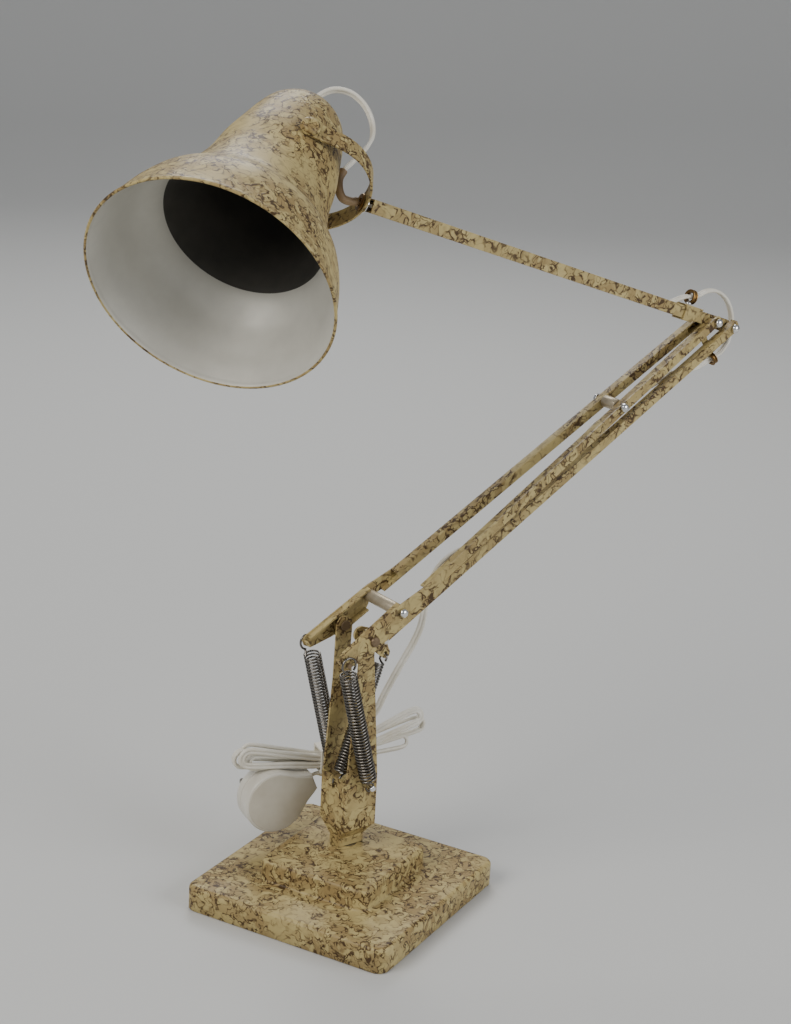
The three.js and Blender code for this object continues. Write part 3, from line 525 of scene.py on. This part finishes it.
ELBOW_LOOP = [
    (283.5, 0, 382.5), (291.5, 0, 384.8), (300, 0, 384.6), (308.8, 0, 380.4), (315.6, 0, 373),
    (319.4, 0, 364), (319.4, -0.4, 354), (315.8, -1.6, 345.5), (308, -3.4, 339.6),
]
RAIL_RUN_IN = [
    (334.8, -4.6, -23.6), (322, -4.2, -21.6), (311, -3.8, -17), (299, -3.4, -12), (285, -3, -8),
    (268, -2.8, -5.6), (246, -2.8, -5.2), (234, -3, -3), (224, -4.4, 0.6), (214, -8, 1.4),
]
CHANNEL = (202, 186, 150, 105)
CHANNEL_DEPTH = 3.6
CHANNEL_RISE = 1.2
RAIL_HALF_GAP = 21
RAIL_TAPER = 1.945 * DEG
RAIL_RUN_OUT = [
    (92, -12.2, 1.4), (82, -8, 1.1), (74, -4.6, -1.6), (66, -3, -6), (59.5, -2.3, -11.2), (54.6, -2, -16.6),
]
DROP = [
    (54.5, -1.2, 187), (54, 1, 177), (51, 4.2, 165), (45.5, 8, 151), (40.5, 12, 137),
    (37, 15.6, 125), (34.2, 19, 114), (31, 24.2, 105.4), (28.4, 28.6, 99.6), (27.6, 30.4, 95.6),
]
TAIL = [
    (21.7, 33, 74.9), (23.2, 32.4, 71.2), (21.7, 32.8, 67.5),
    (18, 33.6, 66), (11.5, 34.9, 65.6), (5, 36.3, 66.6),
]
HANK = frame_at(Vector((4.4, 36.3, 79)) * MM, heading(13.75), UP)
PLUG = frame_at(Vector((-34, 34, 55.6)) * MM, heading(11), UP)
PLUG_RADIUS = 22
PLUG_DEPTH = 20
PLUG_ROUNDING = 1.4
NECK = {"length": 30, "half_width": 6, "tilt": 22 * DEG, "opening": 62 * DEG, "hollow": 1.1}


def head_loop():
    path = smooth_path(in_metres(HEAD_LOOP + SLEEVE))
    made = flex("head_loop_flex", path, Vector((0.3, 0.5, -0.8)))
    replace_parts(made, "cord_head_loop")
    sleeve_path = smooth_path(in_metres(SLEEVE))
    sides = carried_sides(sleeve_path, SIDE)
    tube = swept("flex_sleeve", sleeve_path, circle_section(SLEEVE_RADIUS, 20), SLEEVE_BROWN, sides)
    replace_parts(bevel(tube, 0.4, segments=2, angle=60), "cord_sleeve")
    for moved in (made, tube):
        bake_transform(moved)


def arm_run():
    path = smooth_path(in_metres(ARM_RUN, UPPER))
    made = belongs(flex("arm_run_flex", path, SIDE), "upper_arm", "white_flex", "cord_arm_run")


def elbow_loop():
    high, low = in_metres([RING_HIGH], UPPER)[0], in_metres([RING_LOW], LOWER)[0]
    first = high + Vector((-1.6, 0, 0.3)) * MM
    last = low + Vector((1.7, 0, 0.5)) * MM
    path = smooth_path([first, *in_metres(ELBOW_LOOP), last])
    made = flex("elbow_loop_flex", path, SIDE)
    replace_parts(made, "cord_elbow_loop")
    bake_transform(made)


def rail_face(s):
    """How far the rails' outer faces stand from the middle, at a distance along the lower arm."""
    return RAIL_HALF_GAP - s * math.tan(RAIL_TAPER)


def rail_run():
    channel = [(s, CHANNEL_DEPTH - rail_face(s), CHANNEL_RISE) for s in CHANNEL]
    path = smooth_path(in_metres([*RAIL_RUN_IN, *channel, *RAIL_RUN_OUT], LOWER))
    normal = LOWER.to_3x3() @ UP
    made = flex("rail_run_flex", path, normal)
    belongs(made, "lower_arm", "white_flex", "cord_rail_run")
    return path[-1]


def drop(start):
    first = start + Vector((-0.25, 0.05, -0.4)) * MM
    points = in_metres(DROP)
    path = smooth_path([first, *points])
    made = flex("drop_flex", path, Vector((0.8, -0.6, 0)))
    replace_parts(made, "cord_drop")
    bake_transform(made)


# Where each run of the hank crosses its waist, and its folds: middle along the hank, height, radius.
WAIST = [(v, z) for v in (-4.1, -1.4, 1.4, 4.1) for z in (2.45, -2.45)]
LEFT_FOLDS = [(-55, 8.8, 5.4), (-50, 4.4, 4.8), (-58, 6.8, 6), (-53, 10.4, 4.8)]
RIGHT_FOLDS = [(66, 24, 4.2), (58, 5, 3.8), (70, 15.5, 4.4)]
FOLD_STEPS = 6
# A run's way from waist to fold: how far along its middle point lies, and how much of the rise it has made.
MIDWAY = {"along": 0.45, "rise": 0.42}


def hank_route():
    """The folded cord in its own frame: from the drop, to and fro through the tie, to the tail."""
    route = [(23.9, -0.2, 16), (17, -1, 10.5), (9, -2.8, 5.2)]
    folds = [fold for pair in zip(LEFT_FOLDS, [*RIGHT_FOLDS, None]) for fold in pair if fold]
    for i, (u, z, radius) in enumerate(folds):
        (v0, z0), (v1, z1) = WAIST[i], WAIST[i + 1]
        way = 1 if u > 0 else -1
        turn = 1 if z0 > z1 else -1
        route.append((0, v0, z0))
        route.append((u * MIDWAY["along"], v0, z0 + (z + turn * radius - z0) * MIDWAY["rise"]))
        for k in range(FOLD_STEPS + 1):
            angle = turn * (90 - 180 * k / FOLD_STEPS) * DEG
            v = v0 + (v1 - v0) * k / FOLD_STEPS
            route.append((u + way * radius * math.cos(angle), v, z + radius * math.sin(angle)))
        route.append((u * MIDWAY["along"], v1, z1 + (z - turn * radius - z1) * MIDWAY["rise"]))
    route.append((0, *WAIST[-1]))
    route.extend([(8, 3.2, -2.4), (14, 1.6, -2.6)])
    return route


def hank_and_tail():
    exit_point = in_metres(DROP)[-1]
    reach = NECK["length"] + 0.6
    neck_tip = (reach * math.cos(NECK["tilt"]), PLUG_DEPTH / 2, reach * math.sin(NECK["tilt"]))
    neck_end = PLUG @ (Vector(neck_tip) * MM)
    before = neck_end + Vector((5, -0.7, 1)) * MM
    folded = in_metres(hank_route()[1:], HANK)
    path = smooth_path([exit_point, *folded, *in_metres(TAIL), before, neck_end], per_span=5)
    made = flex("hank_flex", path, UP)
    belongs(made, "fork", "white_flex", "cord_hank", "cord_tail")
    return made, path


def flank(start, end, hollow, steps=6):
    """Points from start to end with a shallow hollow between them."""
    points = []
    for k in range(steps + 1):
        t = k / steps
        ease = t * t * (3 - 2 * t)
        points.append(start + (end - start) * t + hollow * math.sin(math.pi * ease))
    return points


def plug_outline(inset, steps=40):
    """The plug's teardrop in its own XZ plane, inset by some millimetres."""
    radius, tilt, opening = PLUG_RADIUS - inset, NECK["tilt"], NECK["opening"]
    disc = []
    for k in range(steps):
        angle = tilt + opening + (2 * math.pi - 2 * opening) * k / (steps - 1)
        disc.append(Vector((radius * math.cos(angle), 0, radius * math.sin(angle))))
    across = Vector((math.sin(tilt), 0, -math.cos(tilt)))
    tip = Vector((math.cos(tilt), 0, math.sin(tilt))) * (NECK["length"] - inset * 0.6)
    side = across * (NECK["half_width"] - inset)
    hollow = across * NECK["hollow"]
    return [*disc, *flank(disc[-1], tip + side, -hollow)[1:], *flank(tip - side, disc[0], hollow)[:-1]]


def plug_shell(name, stations, material):
    """A skin over teardrop outlines: stations are (inset, depth) in millimetres."""
    loops = []
    for inset, depth in stations:
        loops.append([PLUG @ ((point + Vector((0, depth, 0))) * MM) for point in plug_outline(inset)])
    return rings(name, loops, material, smooth_below=30)


def plug():
    turn = [a * DEG for a in range(0, 81, 20)]
    body = [(PLUG_ROUNDING * (1 - math.sin(a)), 2 - PLUG_ROUNDING * math.cos(a)) for a in turn]
    body += [(0, 6), (0, 11.7), (0.5, 12), (0.5, 12.3), (0, 12.6), (0, 18), (0.5, 19.3), (1.8, PLUG_DEPTH)]
    shell = plug_shell("plug_body", body, PLUG_RIM)
    belongs(shell, "fork", "plug_plastic", "plug")
    face = plug_shell("plug_face", [(1.9, 1.2), (1.7, 0.5), (1.9, 0.15), (2.4, 0.05)], PLUG_IVORY)
    belongs(face, "fork", "plug_plastic")
    back = set_out(PLUG, angle=-90)
    step = [(0, 19.4), (18.6, 19.4), (19, 20), (18.6, 21.8), (17.6, 22), (0, 22)]
    shoulder = turned("plug_shoulder", step, back, PLUG_IVORY, 64, "fork", "plug_plastic")
    pin = [(0, 21.4), (2.35, 21.4), (2.35, 39), (1.9, 40.4), (1, 40.9), (0, 41)]
    screw = [(0, 21.4), (3, 21.4), (3, 22.2), (2.4, 22.8), (0, 23)]
    metal_parts = []
    for name, profile, x in (("pin_left", pin, -9.5), ("pin_right", pin, 9.5), ("screw", screw, 0)):
        at = set_out(back, (x, 0, 0))
        metal_parts.append(turned(f"plug_{name}", profile, at, NICKEL, 32, "fork", "plug_plastic"))
    return [shell, face, shoulder, *metal_parts]


def tie():
    return refined("cord_tie", FLEX_WHITE, 0.6, "fork", "white_flex")


def cord():
    head_loop()
    arm_run()
    elbow_loop()
    drop(rail_run())
    made, path = hank_and_tail()
    plug()
    tie()


cord()


# ---------- base ----------

BASE = set_out(Matrix(), (-9.4, -10.7, 0), 23.63, "Z")
LOWER_TIER = {"side": 152, "height": 18}
UPPER_TIER = {"side": 83, "height": 15}
CORNER = 8
CORNER_STEPS = 12
WALL = 1.6
RIM_ROUNDING = 3
BORE = 7.3
SKIRT = 0.4
# The step between the tiers: extra side, extra corner radius and height at each loop of its fillet.
STEP_FILLET = [(3.2, 1.6, 0), (0.9, 0.5, 0.5), (0, 0, 1.6)]


def square_loop(side, radius, z):
    half = side / 2 - radius
    loop = []
    for corner in range(4):
        centre = Vector((half * (1, -1, -1, 1)[corner], half * (1, 1, -1, -1)[corner], z))
        for k in range(CORNER_STEPS + 1):
            angle = (corner + k / CORNER_STEPS) * math.pi / 2
            loop.append(centre + Vector((math.cos(angle), math.sin(angle), 0)) * radius)
    return [BASE @ (point * MM) for point in loop]


def bore_loop(radius, z):
    """The swivel bore as a loop that matches the square loops point for point."""
    centre = Vector((0, 0, z * MM))
    count = 4 * (CORNER_STEPS + 1)
    turn = BASE.to_3x3()
    spread = [(2 * math.pi * i + math.pi / 4) / count for i in range(count)]
    return [centre + turn @ Vector((math.cos(a), math.sin(a), 0)) * radius * MM for a in spread]


def rounded_edge(side, top, steps=6):
    """Loops round the upper rim of a tier, from its wall to its top face."""
    radius = RIM_ROUNDING
    loops = []
    for k in range(steps + 1):
        angle = k / steps * math.pi / 2
        inset = radius * (1 - math.cos(angle))
        loops.append(square_loop(side - 2 * inset, CORNER - inset, top - radius + radius * math.sin(angle)))
    return loops


def base_cover():
    wide, narrow = LOWER_TIER["side"], UPPER_TIER["side"]
    low, high = LOWER_TIER["height"], LOWER_TIER["height"] + UPPER_TIER["height"]
    outside = [square_loop(wide - 0.8, CORNER, SKIRT), square_loop(wide, CORNER, 0.9)]
    outside += rounded_edge(wide, low)
    outside += [square_loop(narrow + out, CORNER + round_by, low + up) for out, round_by, up in STEP_FILLET]
    outside += rounded_edge(narrow, high)
    outside += [square_loop(36, CORNER, high), bore_loop(BORE, high)]
    inner = CORNER - WALL
    inside = [bore_loop(BORE, high - WALL), square_loop(narrow - 2 * WALL, inner, high - WALL)]
    inside += [square_loop(narrow - 2 * WALL, inner, low - WALL)]
    inside += [square_loop(wide - 2 * WALL, inner, low - WALL)]
    inside += [square_loop(wide - 2 * WALL, inner, SKIRT)]
    made = rings("base_cover_finish", outside + inside, PAINT, closed=True, smooth_below=50)
    belongs(made, "base", "cream_paint", "base_cover")


base_cover()


# ---------- fork, arms and their small parts ----------

PIN_RADIUS = 1.6
BOLT_RADIUS = 2
DOME_RADIUS = 3.1
DOME_EDGE = 1
DOME_BULGE = 2.05
RAIL_LIP = 0.5
# Distance along the lower arm, and how far the tube stops short of the rails' outer faces.
SPACERS = [(27, 1.2), (246, 5.6)]


def crosswise(place, node, body, slot, material, profile, point, flip=1):
    """A turned piece whose local Z runs along the arm's own Y."""
    at = set_out(place, point, flip * 90)
    return turned(f"{node}_finish", profile, at, material, 40, body, slot, node)


def dome(shank, head, length):
    """A domed pin from the tip of its dome, below zero, to the end of its shank."""
    turn = [a * DEG for a in range(0, 91, 15)]
    arc = [(head * math.sin(a), -DOME_EDGE - DOME_BULGE * math.cos(a)) for a in turn]
    return [*arc, (head, -0.1), (head - 0.15, 0), (shank, 0), (shank, length), (0, length)]


def painted_metalwork():
    refined("fork", PAINT, 0.5, "fork", "cream_paint")
    for word in ("right", "left"):
        refined(f"arm_rail_{word}", ARM_PAINT, 0.35, "lower_arm", "cream_paint")
    refined("parallel_link", ARM_PAINT, 0.4, "link", "cream_paint")
    refined("crank", ARM_PAINT, 0.3, "crank", "cream_paint")
    refined("upper_arm_tube", ARM_PAINT, 0.8, "upper_arm", "cream_paint", 4)
    refined("elbow_bracket", ARM_PAINT, 0.5, "upper_arm", "cream_paint")
    refined("guide_strip", ARM_PAINT, 0.3, "lower_arm", "cream_paint")


def arm_fasteners():
    for i, (s, short) in enumerate(SPACERS, 1):
        face = rail_face(s) + RAIL_LIP
        shank = dome(PIN_RADIUS, DOME_RADIUS, 2 * face + 2.5)
        crosswise(LOWER, f"spacer_bolt_{i}", "lower_arm", "chrome", CHROME, shank, (s, -face, 2), -1)
        refined(f"spacer_nut_{i}", CHROME, 0.3, "lower_arm", "chrome")
        end = rail_face(s) - short - 0.55
        tube = [(1.9, -end), (3.9, -end), (4.2, 0.4 - end), (4.2, end - 0.4), (3.9, end), (1.9, end)]
        crosswise(LOWER, f"spacer_{i}", "lower_arm", "spacer_tube", SPACER_METAL, tube, (s, 0, 2))
    face = rail_face(LOWER_LENGTH) + RAIL_LIP
    shank = dome(BOLT_RADIUS, DOME_RADIUS, 2 * face + 2.8)
    crosswise(LOWER, "elbow_bolt", "lower_arm", "chrome", CHROME, shank, (LOWER_LENGTH, -face, 0), -1)
    refined("elbow_nut", CHROME, 0.3, "lower_arm", "chrome")
    shank = dome(PIN_RADIUS, 2.6, 10.3)
    crosswise(CRANK, "crank_pin", "crank", "chrome", CHROME, shank, (OFFSET, -12.5, 0), -1)
    shank = dome(1.3, DOME_RADIUS, 18.7)
    crosswise(UPPER, "link_pin", "upper_arm", "chrome", CHROME, shank, (OFFSET, -12.7, 0), -1)
    screw = [(0, 0), (2.1, 0), (2.2, 0.2), (2.2, 0.8), (1.8, 1.4), (1.1, 1.85), (0, 2)]
    at = set_out(UPPER, (-28.3, -3.2, 5.9))
    turned("guide_screw_finish", screw, at, CHROME, 32, "upper_arm", "chrome", "guide_screw")


def fork_pins():
    """The shoulder pins and the pins below them that hold the springs, one of each on either side."""
    for word, side, inner in (("right", 1, 2.2), ("left", -1, 11)):
        flange = inner + 1
        pivot = [(0, inner), (3.2, inner), (3.4, inner + 0.2), (3.4, flange), (2, flange)]
        pivot += [(2, 21.3), (3.6, 21.3), (3.5, 21.9), (3, 22.6), (1.6, 22.95), (0, 23)]
        node = f"pivot_pin_{word}"
        at = set_out(Matrix.Translation(PIVOT), angle=side * 90)
        turned(f"{node}_finish", pivot, at, PIN_BROWN, 40, "fork", "steel", node)
        low = joint_at(f"spring_{word}_swing")
        anchor = [(0, 10.4), (2.8, 10.4), (3, 10.6), (3, 12.2), (1.6, 12.2), (1.6, 23.3), (2.2, 23.5)]
        anchor += [(2.3, 24), (2, 24.6), (1.2, 24.95), (0, 25)]
        node = f"anchor_pin_{word}"
        at = set_out(Matrix.Translation(Vector((low.x, 0, low.z))), angle=side * 90)
        turned(f"{node}_finish", anchor, at, CHROME, 40, "fork", "chrome", node)


def guide_ring(node, body, place, point):
    """A brass grommet with a waist, its axis along the arm."""
    inner, outer, half = 3, 5.4, 1.8
    lower = [(inner + 0.25, 0.3 - half), (inner + 0.8, -half), (outer - 0.6, -half)]
    lower += [(outer - 0.1, 0.35 - half), (outer - 0.2, 0.8 - half), (outer - 1.1, -0.6)]
    upper = [(radius, -height) for radius, height in reversed(lower)]
    profile = [*lower, (outer - 1.3, 0), *upper, (inner, 0)]
    turned(f"{node}_finish", profile, set_out(place, point, 90, "Y"), BRASS, 48, body, "brass", node)


painted_metalwork()
arm_fasteners()
fork_pins()
guide_ring("guide_ring_upper", "upper_arm", UPPER, RING_HIGH)
guide_ring("guide_ring_lower", "lower_arm", LOWER, RING_LOW)


# ---------- springs ----------

WIRE = 0.76
HELIX_STEPS = 18
HOOK_POINT = (-24.5, 0, 1.5)
# Each coil starts this far above the lower end and stops this gap below the upper end.
ARM_COIL = {"radius": 5.2, "start": 7, "gap": 8, "turns": 35}
LINK_COIL = {"radius": 4.8, "start": 9.5, "gap": 8.5, "turns_of_half": 19}
EYE_OUT = 3.3


def helix(radius, low, high, turns, begin):
    points = []
    count = int(turns * HELIX_STEPS)
    for k in range(count + 1):
        angle = begin + 2 * math.pi * k / HELIX_STEPS
        points.append((radius * math.cos(angle), radius * math.sin(angle), low + (high - low) * k / count))
    return points


def eye(radius, height, y, begin, end, steps=18):
    """Part of a ring in the spring's XZ plane."""
    turn = [(begin + (end - begin) * k / steps) * DEG for k in range(steps + 1)]
    return [(radius * math.cos(a), y, height + radius * math.sin(a)) for a in turn]


def wire(name, points, place):
    path = in_metres(points, place)
    sides = carried_sides(path, place.to_3x3() @ UP)
    return swept(name, path, circle_section(WIRE, 8), SPRING_STEEL, sides)


def arm_spring(word, side):
    """A coil with an eye round the fork's pin below and an eye round the rail's tail pin above."""
    anchor = joint_at(f"spring_{word}_swing")
    tail = LOWER @ (Vector(HOOK_POINT) * MM)
    tail.y = anchor.y
    reach = (tail - anchor).length / MM
    place = frame_at(anchor, SIDE.cross(tail - anchor), tail - anchor)
    out = side * EYE_OUT
    radius, start, stop = ARM_COIL["radius"], ARM_COIL["start"], reach - ARM_COIL["gap"]
    coil = helix(radius, start, stop, ARM_COIL["turns"], math.pi)
    last = coil[-1]
    points = [*eye(2.9, 0, 0, 160, 430), (-0.4, 0, 3.4), (-3.4, 0.4, 5), *coil]
    points += [(last[0] * 0.7, last[1] * 0.7 + out * 0.4, reach - 6.6), (-2.6, out, reach - 5)]
    points += eye(5.2, reach, out, 245, -60)
    made = wire(f"{word}_arm_coil", points, place)
    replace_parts(made, f"arm_spring_{word}", f"arm_spring_{word}_hook")
    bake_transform(made)
    pin = [(0, 20.2), (1.1, 20.2), (1.1, 24.4), (1.7, 24.5), (1.8, 24.8), (1.4, 25.2), (0, 25.3)]
    at = set_out(LOWER, HOOK_POINT, -side * 90)
    turned(f"{word}_tail_pin", pin, at, PIN_BROWN, 32, "lower_arm", "steel")


def link_spring():
    """The middle spring, from the fork's web to the crank, in two halves that meet halfway."""
    anchor = Vector((-9.7, 0, 77.4)) * MM
    hook = CRANK @ (Vector((25.5, 0, -9.9)) * MM)
    reach = (hook - anchor).length / MM
    place = frame_at(anchor, SIDE.cross(hook - anchor), hook - anchor)
    radius, low, high = LINK_COIL["radius"], LINK_COIL["start"], reach - LINK_COIL["gap"]
    middle = (low + high) / 2
    turns = LINK_COIL["turns_of_half"]
    lower = [(-4.4, 0, 4.2), (-4.2, 0, 1.6), (-3, 0, 0.2), (-1.3, 0, 0.2)]
    lower += [(0, 0, 1.8), (0.3, 0, 4.5), (2.2, 0.5, 7)]
    lower += helix(radius, low, middle, turns, 0)
    upper = helix(radius, middle, high, turns, 0)
    upper += [(2.8, -0.6, reach - 7.2), (0.6, -1.2, reach - 5.4), (0, -1.6, reach - 2.6)]
    upper += [(0, -2.7, reach - 0.6), (0, -4.85, reach + 0.3), (0, -7, reach - 0.6)]
    upper += [(0, -8.2, reach - 2.6), (0, -8, reach - 5)]
    first = wire("link_coil_lower", lower, place)
    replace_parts(first, "link_spring_lower")
    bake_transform(first)
    second = wire("link_coil_upper", upper, place)
    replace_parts(second, "link_spring_upper", "link_spring_hook")
    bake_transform(second)


arm_spring("right", -1)
arm_spring("left", 1)
link_spring()


# ---------- head ----------

TILT_AXIS = Vector((0.044, -0.719, 0.694))
YOKE_OUT = Vector(joints["head_swivel"]["axis"])
MOUTH_NORMAL = Vector((-0.724, -0.501, -0.474))
YOKE = frame_at(TILT, TILT_AXIS, YOKE_OUT)
SHADE = frame_at(TILT, TILT_AXIS, -MOUTH_NORMAL)
YOKE_REACH = 59
BAND = 1.6
MOUTH_BEHIND = 112.8
CROWN = 172.5 - MOUTH_BEHIND
# Height above which the inside of the neck gets painted shade instead of the lining.
NECK_FROM = 58 - MOUTH_BEHIND
SHEET = 0.9
ROLL = 0.95
SHADE_SIDES = 144
# Material slots of the shade after its paint: the silver lining, then near-black painted shade for the deep
# inside of the neck.
LINED = 1
PAINTED_SHADE_SLOT = 2
# Radius and height above the mouth.
SHADE_PROFILE = [
    (76.1, 0), (72.8, 12), (69.2, 25), (63, 40), (52, 55), (46.3, 70), (41, 90),
    (38, 112), (34, 130), (30.4, 145), (26.5, 156), (19, 166), (9, 171.5),
]


def shade():
    """A spun shell: a smooth bell and neck, a rolled rim, painted outside and silvered inside, with painted
    shade deep inside the neck.
    """
    points = [Vector((r, h - MOUTH_BEHIND, 0)) for r, h in SHADE_PROFILE]
    curve = smooth_path(points, per_span=8)
    inside = []
    for i, point in enumerate(curve):
        ahead = direction(curve, i)
        inward = Vector((-ahead.y, ahead.x, 0))
        inside.append(point + inward * SHEET)
    centre = curve[0] + Vector((-0.75, 0.75, 0))
    turn = [(-150 + 170 * k / 6) * DEG for k in range(7)]
    roll = [centre + Vector((math.cos(a), math.sin(a), 0)) * ROLL for a in turn]
    outside = [*curve[2:], Vector((4.3, CROWN, 0))]
    inside = [Vector((4.3, CROWN - 1.3, 0)), *reversed(inside[2:])]
    profile = [(p.x, p.y) for p in [*roll, *outside, *inside]]
    made = lathe("shade_shell", profile, SHADE, SHADE_PAINT, SHADE_SIDES, smooth_below=60)
    made.data.materials.append(LINING)
    made.data.materials.append(NECK_PAINTED_SHADE)
    last_outside = len(roll) + len(outside) - 1
    for index, face in enumerate(made.data.polygons):
        row = index // SHADE_SIDES
        if row >= last_outside:
            # Inside faces past NECK_FROM, deep in the neck, get near-black painted shade; the rest get the
            # lining.
            face.material_index = PAINTED_SHADE_SLOT if profile[row][1] > NECK_FROM else LINED
    belongs(made, "shade", "shade_paint", "shade")


def holder():
    """A ribbed bulb holder hung from the crown, with its contacts and the ring that holds the shade."""
    top = CROWN - 9
    mouth = top - 52
    profile = [(15.7, mouth + 0.3), (16.2, mouth), (17.6, mouth), (18, mouth + 0.4)]
    for k in range(5):
        z = mouth + 3 + 3.6 * k
        profile += [(18, z), (17.4, z + 0.6), (17.4, z + 1.4), (18, z + 2)]
    profile += [(18, mouth + 22), (15, mouth + 25), (14, top - 12), (12.4, top - 5), (9, top - 0.4)]
    profile += [(8, top), (5.4, top), (5.4, top - 8), (11, top - 18), (13.5, mouth + 20)]
    made = lathe("lampholder_finish", profile, SHADE, BAKELITE, 72, smooth_below=30)
    belongs(made, "shade", "black_bakelite", "lampholder")
    plate = [(0, mouth + 20.5), (12.6, mouth + 20.5), (12.6, mouth + 23), (0, mouth + 23)]
    turned("holder_contacts_plate", plate, SHADE, PLUG_IVORY, 48, "shade", "black_bakelite")
    floor = mouth + 20.4
    plunger = [(0, mouth + 15.5), (1.3, mouth + 15.6), (1.6, mouth + 16), (1.6, floor), (0, floor)]
    for word, x in (("left", -4.2), ("right", 4.2)):
        turned(f"holder_plunger_{word}", plunger, set_out(SHADE, (x, 0, 0)), BRASS, 24, "shade", "brass")
    z = top - 25
    ring = [(18.3, z + 0.3), (18.6, z), (29.7, z), (30, z + 0.3)]
    ring += [(30, z + 1.7), (29.7, z + 2), (18.6, z + 2), (18.3, z + 1.7)]
    turned("holder_ring_finish", ring, SHADE, BAKELITE, 96, "shade", "black_bakelite", "holder_ring")


def gland():
    z = CROWN
    profile = [(2.5, z - 2.4), (4, z - 2.4), (4, z + 0.3), (5.8, z + 0.3), (6, z + 0.6), (5.6, z + 1.6)]
    profile += [(4.6, z + 2.8), (4, z + 4), (3.4, z + 4.8), (2.9, z + 5), (2.5, z + 4.6)]
    turned("cord_gland_finish", profile, SHADE, BRASS, 48, "shade", "brass", "cord_gland")


def yoke():
    refined("yoke", PAINT, 0.4, "yoke", "cream_paint")
    boss = [(0, 39.1), (1.6, 39.1), (1.6, 41.5), (5.8, 41.5), (6, 41.8), (6, 43.2), (5.7, 43.8)]
    boss += [(4.8, 44.6), (3.4, 45.1), (3, 44.9), (2.7, 44.5), (1.2, 44.4), (0, 44.4)]
    for word, side in (("front", 1), ("rear", -1)):
        node = f"tilt_boss_{word}"
        at = set_out(YOKE, angle=side * 90, axis="Y")
        turned(f"{node}_finish", boss, at, PAINT, 48, "yoke", "cream_paint", node)
    front = -YOKE_REACH + BAND / 2 + 0.8
    back = -YOKE_REACH - BAND / 2 - 1.9
    eyelet = [(2.7, back + 0.3), (3, back), (3.7, back), (3.9, back + 0.2), (3.9, front), (5.5, front)]
    eyelet += [(5.7, front + 0.3), (5.4, front + 0.9), (4.6, front + 1.2), (3.2, front + 1.2)]
    eyelet += [(2.7, front + 0.7)]
    turned("swivel_eyelet_finish", eyelet, YOKE, BRASS, 48, "yoke", "brass", "swivel_eyelet")
    z = -YOKE_REACH - BAND / 2 - 0.3
    washer = [(4.2, z - 0.8), (5.4, z - 0.8), (5.6, z - 0.6), (5.6, z - 0.2), (5.4, z), (4.2, z)]
    turned("swivel_washer_finish", washer, YOKE, CHROME, 48, "yoke", "chrome", "swivel_washer")


shade()
holder()
gland()
yoke()


# ---------- pieces inside the base, which keep their CAD shape ----------

KEPT = {
    "base_weight": IRON,
    "base_felt": FELT,
    "swivel_bush": STEEL,
    "spindle": STEEL,
    "spindle_washer": STEEL,
    "spindle_nut": STEEL,
}
for kept_name, kept_material in KEPT.items():
    kept = frame["nodes"][kept_name]
    kept.data.materials.clear()
    kept.data.materials.append(kept_material)


# ---------- studio ----------

SKY = (0.9, 0.93, 1, 1)
SKY_STRENGTH = 0.3


def studio():
    """A floor that bends up into a wall on the side away from the camera, and an even sky."""
    reach, back, wall, bend = 6.0, 2.4, 3.0, 1.2
    profile = [(-reach, 0), (back, 0)]
    profile += [(back + bend * math.sin(a * DEG), bend * (1 - math.cos(a * DEG))) for a in range(6, 91, 6)]
    profile += [(back + bend, wall + bend)]
    ahead = Vector((CAMERA_FORWARD.x, CAMERA_FORWARD.y, 0)).normalized()
    across = ahead.cross(UP)
    verts = [ahead * d + across * s * reach + UP * h for d, h in profile for s in (-1, 1)]
    faces = [(2 * i, 2 * i + 1, 2 * i + 3, 2 * i + 2) for i in range(len(profile) - 1)]
    mesh = bpy.data.meshes.new("floor")
    mesh.from_pydata(verts, [], faces)
    mesh.polygons.foreach_set("use_smooth", [True] * len(mesh.polygons))
    floor = bpy.data.objects.new("floor", mesh)
    bpy.context.scene.collection.objects.link(floor)
    floor.data.materials.append(Shader("studio_floor", (0.62, 0.62, 0.6), 0.8).material)
    world = bpy.data.worlds.new("studio")
    world.use_nodes = True
    sky = world.node_tree.nodes["Background"]
    sky.inputs["Color"].default_value = SKY
    sky.inputs["Strength"].default_value = SKY_STRENGTH
    bpy.context.scene.world = world


def softbox(name, place, target, size, power, color=(1, 1, 1)):
    """A rectangular light at a place in metres, aimed at a target."""
    light = bpy.data.lights.new(name, "AREA")
    light.shape = "RECTANGLE"
    light.size, light.size_y = size
    light.energy = power
    light.color = color
    made = bpy.data.objects.new(name, light)
    place, target = Vector(place), Vector(target)
    made.matrix_world = frame_at(place, UP.cross(place - target), place - target)
    bpy.context.scene.collection.objects.link(made)


studio()
softbox("key", (-1.9, -0.1, 1.7), (0, 0, 0.25), (1.3, 1.3), 36, (1, 0.97, 0.92))
softbox("fill", (0.9, -1.9, 1), (0.15, 0, 0.3), (1.4, 1.2), 26, (0.97, 0.98, 1))
softbox("rim", (0.9, 1.4, 1.6), (0.1, 0, 0.3), (0.9, 0.9), 16)
